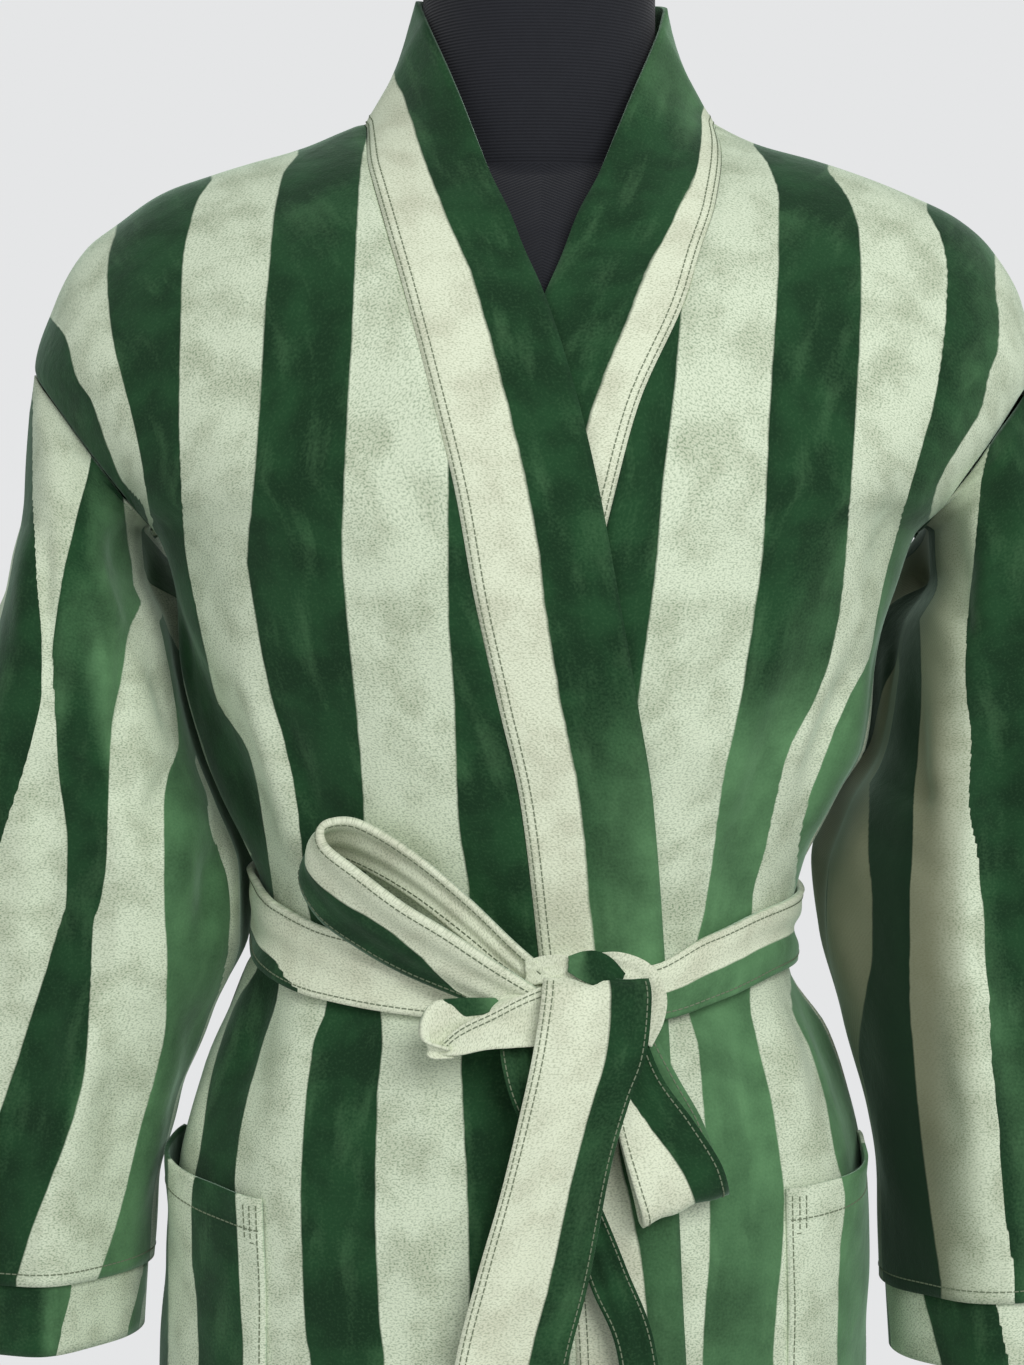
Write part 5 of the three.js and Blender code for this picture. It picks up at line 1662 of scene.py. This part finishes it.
@dataclass(frozen=True)
class BowStrip:
    """A strip of the bow.

    Each row holds the X, Y and Z of a point on the low edge and then of one on the high
    edge. The shares say, down the strip, how far the cream reaches from its low edge or,
    where cream_high is set, from its high edge.
    """

    name: str
    rows: tuple[tuple[float, float, float, float, float, float], ...]
    cream: Pairs
    cream_high: bool = False
    wall: float = 3.4
    columns: int = 14
    steps: int = 90
    cup: float = 1.2
    seed: float = 0.0
    node: str = ""
    ripple: float = 0.7
    low_stitches: tuple[float, ...] = (3.0,)
    high_stitches: tuple[float, ...] = (3.0,)
    shade: float = 0.0

    def line(self, edge: int, share: Array) -> Array:
        """Return the low edge's curve, 0, or the high edge's, 1, through the table's points."""
        points = np.array(self.rows, float).reshape(-1, 2, 3)[:, edge]
        ends = [2 * points[0] - points[1], *points, 2 * points[-1] - points[-2]]
        ends = np.asarray(ends)
        place = share * (len(points) - 1)
        i = np.minimum(place.astype(int), len(points) - 2)
        t = (place - i)[:, None]
        a, b, c, d = ends[i], ends[i + 1], ends[i + 2], ends[i + 3]
        curve = 2 * b + (c - a) * t + (2 * a - 5 * b + 4 * c - d) * t**2
        return 0.5 * (curve + (3 * b - a - 3 * c + d) * t**3)

    def make(self) -> tuple[Piece, ClothPiece]:
        """Build the strip and return it with its surface."""
        share = np.linspace(0, 1, self.steps + 1)
        low, high = self.line(0, share), self.line(1, share)
        across = np.linspace(0, 1, self.columns + 1)[None, :, None]
        grid = low[:, None] + across * (high - low)[:, None]
        slope = np.cross(np.gradient(grid, axis=1), np.gradient(grid, axis=0))
        normals = unit(slope)
        centred = 2 * across[..., 0] - 1
        ripple = np.sin(7 * centred + 2.2 * np.sin(5 * share[:, None] + self.seed) + self.seed)
        rise = self.cup * (1 - centred**2) + self.ripple * ripple * (1 - centred**4)
        grid = grid + normals * rise[..., None]
        piece = ClothPiece(f"{self.name}_cloth", grid, normals, self.wall)
        piece.shade = self.shade
        marks = np.asarray(self.cream, float)
        cream = through(marks[:, 0], marks[:, 1], share)
        cream = np.where(cream < 0.01, -0.1, np.where(cream > 0.99, 1.1, cream))[:, None]
        place = 1 - across[..., 0] if self.cream_high else across[..., 0]
        piece.counted(two_toned(place, cream))
        return piece.make(BAND_VELVET, self.node or self.name), piece

    def stitches(self, piece: ClothPiece) -> list["StitchLine"]:
        """Return the strip's rows of stitching, on both of its faces."""
        lines = []
        for face in (piece, under_side(piece)):
            lines += [stitch_along(face, inset) for inset in self.low_stitches]
            lines += [stitch_along(face, inset, False) for inset in self.high_stitches]
        return lines

    def flat(self, piece: ClothPiece) -> tuple[float, float]:
        """Return the strip's flat width and length in metres, as folded."""
        edge_to_edge = piece.grid[:, -1] - piece.grid[:, 0]
        width = float(np.max(np.linalg.norm(edge_to_edge, axis=-1)))
        length = float(lengths_along(piece.grid[:, self.columns // 2])[-1])
        return width * MM, length * MM


STRIPS = (
    BowStrip(
        "belt_loop_upper",
        (
            (-10, -145, 929, 9, -151, 941), (-35, -131, 939, -17, -147, 956),
            (-64, -119, 950, -42, -145, 972), (-87, -110, 962, -64, -142, 985),
            (-107, -102, 976, -86, -138, 1001), (-117, -97, 994, -103, -132, 1014),
            (-112, -95, 1007, -104, -127, 1025), (-98, -100, 1008, -90, -125, 1028),
            (-80, -109, 1001, -73, -127, 1021), (-58, -118, 988, -51, -130, 1006),
            (-36, -126, 971, -30, -132, 988), (-14, -130, 953, -8, -134, 967),
            (6, -142, 941, 13, -146, 950),
        ),
        ((0, 0.98), (0.083, 0.93), (0.167, 0.53), (0.25, 0.42), (0.333, 0.48), (0.417, 0.58),
         (0.5, 0.7), (0.55, 1.0), (1, 1.0)),
        cream_high=True,
        seed=1.0,
    ),
    BowStrip(
        "belt_loop_lower",
        (
            (30, -143, 934, 50, -141, 934), (36, -150, 905, 62, -144, 902), (40, -156, 880, 78, -147, 880),
            (47, -158, 855, 90, -147, 862), (52, -156, 838, 94, -142, 850), (52, -150, 834, 94, -134, 848),
            (50, -147, 844, 91, -131, 858), (44, -145, 868, 83, -131, 880), (38, -141, 895, 70, -131, 903),
            (34, -134, 930, 54, -131, 934),
        ),
        ((0, 0.1), (0.11, 0.15), (0.22, 0.4), (0.33, 0.56), (0.5, 0.62), (0.62, 0.3), (1, 0.1)),
        seed=2.0,
    ),
    BowStrip(
        "belt_tail_front",
        (
            (5, -150, 949, 56, -150, 949), (4, -158, 941, 57, -158, 940), (0, -161, 916, 54, -160, 914),
            (-6, -161, 888, 46, -162, 892), (-16, -160, 846, 37, -164, 860),
            (-27, -160, 808, 27, -164, 808), (-38, -160, 763, 16, -163, 763),
            (-46, -161, 700, 8, -163, 700), (-50, -163, 600, 4, -164, 600),
        ),
        ((0, 0.62), (0.5, 0.66), (1, 0.66)),
        cup=0.6,
        steps=150,
        seed=3.0,
        low_stitches=(2.2, 5.2),
        high_stitches=(2.0,),
    ),
    BowStrip(
        "belt_tail_rear",
        (
            (-18, -138, 932, 0, -139, 930), (-14, -149, 905, 4, -150, 906), (-7, -153, 884, 11, -152, 888),
            (14, -153, 840, 30, -152, 848), (28, -153, 802, 45, -152, 812), (41, -154, 768, 59, -152, 772),
            (46, -156, 700, 65, -153, 700), (46, -158, 640, 65, -155, 640),
        ),
        ((0, 0.0), (1, 0.0)),
        cup=0.5,
        steps=130,
        seed=4.0,
        low_stitches=(1.8,),
        high_stitches=(1.8,),
    ),
)


@dataclass(frozen=True)
class KnotStrip(BowStrip):
    """A short strip of the knot, which is one solid."""

    node: str = "belt_knot"
    wall: float = 2.6
    ripple: float = 0.4
    low_stitches: tuple[float, ...] = ()
    high_stitches: tuple[float, ...] = ()


KNOT_STRIPS = (
    KnotStrip(
        "belt_knot_strap",
        (
            (-46, -149, 914, -46, -149, 917), (-36, -153, 914, -34, -151, 928),
            (-22, -155, 917, -18, -152, 936), (-9, -155, 918, -5, -152, 943), (4, -155, 919, 7, -152, 948),
            (16, -154, 921, 18, -151, 950),
        ),
        ((0, 1.0), (1, 1.0)),
        steps=50,
        seed=5.0,
        ripple=0.5,
        high_stitches=(2.0, 5.0),
    ),
    KnotStrip(
        "belt_knot_left_turn",
        (
            (-4, -141, 929, -6, -139, 940), (-20, -146, 926, -22, -144, 941),
            (-33, -147, 922, -36, -145, 941), (-43, -148, 918, -48, -145, 939),
            (-49, -150, 915, -53, -149, 931), (-47, -151, 913, -51, -153, 922),
            (-38, -151, 914, -40, -154, 918),
        ),
        ((0, 0.45), (0.3, 0.5), (0.38, 0.85), (0.44, 1.0), (1, 1.0)),
        wall=2.4,
        steps=60,
        cup=2.0,
        seed=6.0,
    ),
    KnotStrip(
        "belt_knot_top",
        (
            (-3, -141, 946, -3, -138, 958), (8, -146, 948, 8, -142, 961), (20, -149, 949, 20, -146, 961),
            (31, -151, 950, 31, -148, 958),
        ),
        ((0, 1.0), (1, 1.0)),
        steps=40,
        shade=0.4,
        seed=7.0,
    ),
    KnotStrip(
        "belt_knot_green_fold",
        (
            (17, -150, 954, 18, -148, 961), (24, -152, 950, 25, -150, 964), (31, -153, 947, 31, -150, 964),
            (37, -153, 946, 37, -150, 961), (42, -151, 947, 44, -149, 953),
        ),
        ((0, 0.0), (1, 0.0)),
        wall=2.4,
        steps=40,
        seed=8.0,
    ),
    KnotStrip(
        "belt_knot_right_turn",
        (
            (27, -146, 951, 28, -144, 962), (38, -148, 950, 43, -146, 963), (46, -149, 944, 57, -146, 957),
            (49, -150, 937, 64, -146, 944), (49, -150, 930, 63, -146, 931), (46, -149, 922, 57, -145, 918),
        ),
        ((0, 1.0), (1, 1.0)),
        steps=60,
        seed=9.0,
    ),
)


@dataclass(frozen=True)
class Knot:
    """The knot's core: a rounded lump of folded belt that its turns lie on."""

    x: float = 10.0
    y: float = -138.0
    z: float = 934.0
    half: Triple = (42.0, 11.0, 15.0)
    tilt: float = 0.18
    squareness: float = 0.8
    creases: tuple[Crease, ...] = (
        Crease(((437, 1050), (470, 1020), (505, 1003), (542, 990)), 4, 2.6),
        Crease(((450, 1030), (480, 1010), (520, 985)), 4, -3.0),
        Crease(((440, 1060), (480, 1052), (529, 1050)), 4, -2.0),
        Crease(((650, 960), (662, 1000), (655, 1045)), 5, 2.2),
        Crease(((640, 960), (646, 1000), (640, 1040)), 3.5, -2.4),
        Crease(((527, 972), (560, 966), (592, 972)), 4, -2.2),
    )

    def make(self) -> Piece:
        """Build the knot."""
        turn = np.linspace(0, 2 * np.pi, 96, endpoint=False)[None, :]
        rise = np.linspace(-np.pi / 2, np.pi / 2, 66)[1:-1, None]
        sphere = np.stack(np.broadcast_arrays(
            np.cos(rise) * np.cos(turn), np.cos(rise) * np.sin(turn), np.sin(rise)
        ), axis=-1)
        fuller = np.sign(sphere) * np.abs(sphere) ** self.squareness
        local = fuller * np.asarray(self.half)
        c, s = np.cos(self.tilt), np.sin(self.tilt)
        grid = np.stack([
            self.x + c * local[..., 0] - s * local[..., 2],
            self.y + local[..., 1],
            self.z + s * local[..., 0] + c * local[..., 2],
        ], axis=-1)
        normals = grid_normals(grid, True, np.array([self.x, self.y, self.z]))
        grid = creased(grid, normals, self.creases)
        piece = ClothPiece("belt_knot_core", grid, normals, 3.0, closed=True)
        piece.counted(np.full((grid.shape[0], grid.shape[1] + 1), 0.5))
        return piece.make(BAND_VELVET, "belt_knot")


@dataclass(frozen=True)
class StitchLine:
    """One row of topstitching along a line of points with their normals."""

    points: Array
    normals: Array


@dataclass(frozen=True)
class Stitching:
    """Topstitching as short raised bars of thread, in millimetres."""

    pitch: float = 3.4
    length: float = 2.5
    thickness: float = 0.6

    def make(self, name: str, lines: list[StitchLine]) -> Piece:
        """Build the stitches of several lines as one piece.

        Args:
            name: The piece's name.
            lines: The stitch lines.

        Returns:
            The piece.
        """
        points, faces = [], []
        box = np.array([[x, y, z] for x in (-1, 1) for y in (-1, 1) for z in (-1, 1)], float)
        sides = np.array([
            (0, 1, 3, 2), (4, 6, 7, 5), (0, 4, 5, 1), (2, 3, 7, 6), (0, 2, 6, 4), (1, 5, 7, 3)
        ])
        for line in lines:
            marks = lengths_along(line.points)
            at = np.arange(self.pitch, marks[-1] - self.pitch, self.pitch)
            spots = at_lengths(at, marks, line.points)
            out = unit(at_lengths(at, marks, line.normals))
            along = unit(at_lengths(at + 0.5, marks, line.points) - spots)
            aside = unit(np.cross(out, along))
            scaled = box * np.array([self.length, self.thickness, self.thickness]) / 2
            frame_axes = np.stack([along, aside, np.cross(along, aside)], axis=1)
            placed = spots[:, None] + np.einsum("kc,ncd->nkd", scaled, frame_axes)
            base = sum(len(p) for p in points)
            points.append(placed.reshape(-1, 3))
            faces.append(base + (8 * np.arange(len(at))[:, None, None] + sides[None]).reshape(-1, 4))
        quads = np.concatenate(faces).tolist()
        piece = new_piece(name, np.concatenate(points), quads, THREAD.material())
        piece.data.validate()
        return seat(piece, THREAD.name)


def under_side(piece: ClothPiece) -> ClothPiece:
    """Return the other face of a piece's cloth."""
    return ClothPiece(piece.name, piece.grid - piece.normals * piece.wall, -piece.normals, piece.wall)


def inset_line(grid: Array, normals: Array, inset: float) -> StitchLine:
    """Return the line that lies so far in along every row of a grid."""
    marks = [lengths_along(row) for row in grid]
    spots = [at_lengths(inset, along, row) for along, row in zip(marks, grid)]
    return StitchLine(
        np.array(spots), np.array([at_lengths(inset, along, out) for along, out in zip(marks, normals)])
    )


def stitch_along(piece: ClothPiece, inset: float, low_side: bool = True) -> StitchLine:
    """Return a stitch line down a piece, so far in from its first or last column."""
    way = slice(None) if low_side else slice(None, None, -1)
    return inset_line(piece.grid[:, way], piece.normals[:, way], inset)


def stitch_round(piece: ClothPiece, inset: float, top: bool) -> StitchLine:
    """Return a stitch line across a piece, so far in from its last or first row."""
    way = slice(None, None, -1) if top else slice(None)
    grid, normals = piece.closing(piece.grid)[way], piece.closing(piece.normals)[way]
    return inset_line(grid.swapaxes(0, 1), normals.swapaxes(0, 1), inset)


class DressForm:
    """The limbless form: hips, waist, chest, shoulders and neck."""

    BOTTOM_Z = 690.0
    CHEST_Z = 1300.0
    TOP_Z = 1490.0
    NECK_FOOT_Z = 1345.0
    NECK_SEAM_Z = 1362.0
    FRONT_CLEAR = 3.4
    BACK_CLEAR = 6.0
    NECK = (57.5, 66.5, 57.5, 50.4)
    SIDES = 144

    def make(self) -> Piece:
        """Build the form."""
        outline = Outline(FORM_RINGS)
        low = np.arange(self.BOTTOM_Z, self.CHEST_Z, 7)
        high = np.arange(self.CHEST_Z, self.TOP_Z, 2.5)
        z = np.concatenate([low, high, [self.TOP_Z]])[:, None]
        turn = np.linspace(0, 2 * np.pi, self.SIDES, endpoint=False)[None, :]
        own = reach(outline.sizes(z), turn)
        clear = mix(self.FRONT_CLEAR, self.BACK_CLEAR, smooth(-0.1, 0.1, np.sin(turn)))
        cloth = reach(CLOTH.outline.sizes(z + clear), turn) - clear
        shoulder = np.where(z + self.FRONT_CLEAR > SHOULDER_NECK_Z, 0, np.minimum(own, cloth))
        neck = np.where(z > self.NECK_FOOT_Z, reach(self.NECK, turn), 0)
        radius = np.maximum(shoulder, neck)
        radius = radius - 0.8 * np.exp(-(((z - self.NECK_SEAM_Z) / 1.4) ** 2))
        round_rim = np.clip((z - (self.TOP_Z - 4)) / 4, 0, 1)
        radius = radius - 3.0 * round_rim**2
        grid = np.stack(np.broadcast_arrays(
            radius * np.cos(turn), outline.size("ridge", z) + radius * np.sin(turn), z
        ), axis=-1)
        rows = len(grid)
        n = self.SIDES
        i, j = np.meshgrid(np.arange(rows - 1), np.arange(n), indexing="ij")
        after = (j + 1) % n
        quads = np.stack([i * n + j, i * n + after, (i + 1) * n + after, (i + 1) * n + j], -1)
        ends = [list(range(n))[::-1], list(range((rows - 1) * n, rows * n))]
        faces = [*quads.reshape(-1, 4).tolist(), *ends]
        cover = RibbedJersey().material()
        piece = new_piece("form_torso_cover", grid.reshape(-1, 3), faces, cover)
        piece.data.shade_smooth()
        return seat(piece, FORM_SLOT, "form_torso")


@dataclass(frozen=True)
class Stand:
    """The pole, the round base under it and the cap on the form's neck, in millimetres."""

    base_radius: float = 200.0
    rim: float = 8.0
    base_thick: float = 16.0
    hub_radius: float = 30.0
    hub_top: float = 46.0
    pole_radius: float = 12.5
    cap_radius: float = 54.0
    cap_top_radius: float = 50.0
    cap_thick: float = 6.0
    cap_at: tuple[float, float] = (5.0, 5.0)
    bevel: float = 1.2
    hub_rise: float = 4.0
    sunk: float = 2.0
    apart: float = 0.3

    def cone(self, low: float, high: float, wide: float, narrow: float, sides: int) -> Piece:
        """Add an upright cone or cylinder between two heights."""
        bpy.ops.object.select_all(action="DESELECT")
        bpy.ops.mesh.primitive_cone_add(
            vertices=sides, radius1=wide * MM, radius2=narrow * MM, depth=(high - low) * MM,
            location=(0, 0, (low + high) / 2 * MM),
        )
        return bpy.context.active_object

    def joined(
        self, name: str, parts: list[Piece], x: float = 0, y: float = 0
    ) -> Piece:
        """Join parts into one bevelled piece with its place in the mesh."""
        bpy.ops.object.select_all(action="DESELECT")
        for part in parts:
            part.select_set(True)
        bpy.context.view_layer.objects.active = parts[0]
        if len(parts) > 1:
            bpy.ops.object.join()
        piece = bpy.context.active_object
        piece.name = name
        piece.location.x += x * MM
        piece.location.y += y * MM
        bpy.ops.object.transform_apply(location=True, rotation=True, scale=True)
        bevel = piece.modifiers.new("soft_edges", "BEVEL")
        bevel.width = self.bevel * MM
        bevel.segments = 3
        bevel.limit_method = "ANGLE"
        bpy.ops.object.shade_smooth_by_angle(angle=math.radians(35))
        piece.data.materials.append(LACQUER.material())
        return piece

    def make(self) -> list[Piece]:
        """Build the base, the pole and the cap."""
        shoulder = self.base_radius - self.rim
        hub_foot = self.base_thick + self.hub_rise
        base = self.joined("form_base_plate", [
            self.cone(0, self.rim, self.base_radius, self.base_radius, 128),
            self.cone(self.rim, self.base_thick, self.base_radius, shoulder, 128),
            self.cone(self.base_thick, hub_foot, shoulder, self.hub_radius, 128),
            self.cone(hub_foot - self.sunk, self.hub_top, self.hub_radius, self.hub_radius, 64),
        ])
        low = self.hub_top + self.apart
        high = DressForm.BOTTOM_Z - self.apart
        pole = self.joined("form_pole_tube", [self.cone(low, high, self.pole_radius, self.pole_radius, 48)])
        foot = DressForm.TOP_Z + self.apart
        cap = self.joined(
            "form_neck_disc",
            [self.cone(foot, foot + self.cap_thick, self.cap_radius, self.cap_top_radius, 64)],
            *self.cap_at,
        )
        seat(base, STAND_SLOT, "form_base")
        seat(pole, STAND_SLOT, "form_pole")
        seat(cap, STAND_SLOT, "form_neck_cap")
        return [base, pole, cap]


@dataclass(frozen=True)
class Light:
    """One soft square light that looks at the robe's middle, in metres and watts."""

    name: str
    place: Triple
    size: float
    power: float
    target: Triple = (0, 0, 1.0)

    def make(self) -> None:
        """Add the light."""
        data = bpy.data.lights.new(self.name, "AREA")
        data.size = self.size
        data.energy = self.power
        lamp = bpy.data.objects.new(self.name, data)
        lamp.location = self.place
        way = Vector(self.target) - Vector(self.place)
        lamp.rotation_euler = way.to_track_quat("-Z", "Y").to_euler()
        bpy.context.scene.collection.objects.link(lamp)


@dataclass(frozen=True)
class Studio:
    """The plain pale floor, the even surroundings and the soft lights, in metres."""

    floor_radius: float = 2.6
    world: Shade = Shade(229, 230, 231)
    surround: float = 0.54
    lights: tuple[Light, ...] = (
        Light("key", (1.0, -2.3, 2.2), 1.4, 46),
        Light("fill", (-2.0, -2.2, 1.6), 1.8, 8),
        Light("back", (0.6, 2.4, 2.2), 1.8, 22),
    )

    def make(self) -> None:
        """Build the floor, the world and the lights."""
        bpy.ops.object.select_all(action="DESELECT")
        bpy.ops.mesh.primitive_circle_add(vertices=96, radius=self.floor_radius, fill_type="NGON")
        floor = bpy.context.active_object
        floor.name = "studio_floor"
        floor.data.materials.append(FLOOR.material())
        world = bpy.data.worlds.new("studio")
        world.use_nodes = True
        tree = world.node_tree
        back = tree.nodes["Background"]
        back.inputs["Color"].default_value = self.world.linear()
        path = tree.nodes.new("ShaderNodeLightPath")
        level = tree.nodes.new("ShaderNodeMapRange")
        level.inputs["To Min"].default_value = self.surround
        level.inputs["To Max"].default_value = 1.0
        tree.links.new(path.outputs["Is Camera Ray"], level.inputs["Value"])
        tree.links.new(level.outputs[0], back.inputs["Strength"])
        bpy.context.scene.world = world
        for light in self.lights:
            light.make()
        bpy.context.scene.view_settings.view_transform = "Standard"


def declare(piece: Piece, flat: tuple[float, float], area: float, on: object) -> None:
    """Log a sheet's flat cut and its area.

    Args:
        piece: The sheet.
        flat: The cut's width and length in metres.
        area: The cut's area in square metres.
        on: What it rests on or hangs from; not used.
    """
    min(area, 0.998 * flat[0] * flat[1])
    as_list(on)
    log.info("%s: %.3f x %.3f m, %.3f m2", piece.name, *flat, area)


def make_robe(form: Piece) -> None:
    """Build the robe on its form, and its belt and bow."""
    over, over_area = FrontPanels().make(Side.LEFT)
    under, under_area = FrontPanels().make(Side.RIGHT)
    back, back_area = BackPanel().make()
    band, band_piece = Neckband().make()
    declare(over, (0.34, 1.26), over_area, form)
    declare(under, (0.34, 1.26), under_area, form)
    declare(back, (0.68, 1.25), back_area, form)
    declare(band, (0.07, 2.62), band_piece.area(), form)
    band_lines = [stitch_along(band_piece, 6), stitch_along(band_piece, 2.2)]
    Stitching().make("neckband_stitches", band_lines)
    hems = []
    for side in Side:
        sleeve = Sleeve(side)
        tube, tube_piece = sleeve.make()
        cuff, cuff_piece = sleeve.make_cuff()
        declare(tube, (0.52, 0.5), tube_piece.area(), form)
        declare(cuff, (0.41, 0.05), cuff_piece.area(), tube)
        hems.append(stitch_round(tube_piece, 6, True))
    Stitching().make("sleeve_stitches", hems)
    pocket_lines = []
    for pocket in POCKETS:
        patch, patch_piece = pocket.make()
        declare(patch, (0.12, 0.18), patch_piece.area(), over if pocket.side is Side.LEFT else under)
        pocket_lines += [stitch_along(patch_piece, 3), stitch_along(patch_piece, 3, False)]
        pocket_lines += [stitch_round(patch_piece, 3, False), stitch_round(patch_piece, 16, True)]
        pocket_lines += pocket.bar_tack(patch_piece)
    Stitching().make("pocket_stitches", pocket_lines)
    belt, belt_piece = Belt().make()
    declare(belt, (0.054, 0.88), belt_piece.area(), [over, under])
    belt_lines = [stitch_round(belt_piece, 3, True), stitch_round(belt_piece, 3, False)]
    for strip in STRIPS + KNOT_STRIPS:
        ribbon, ribbon_piece = strip.make()
        declare(ribbon, strip.flat(ribbon_piece), ribbon_piece.area(), belt)
        belt_lines += strip.stitches(ribbon_piece)
    Knot().make()
    Stitching().make("belt_stitches", belt_lines)


def main() -> None:
    """Build the dress form and the robe on it, with the studio around them."""
    logging.basicConfig(level=logging.INFO, format="%(name)s %(message)s")
    form = DressForm().make()
    Stand().make()
    make_robe(form)
    Studio().make()
    VIEW.make_camera()


if __name__ == "__main__":
    main()
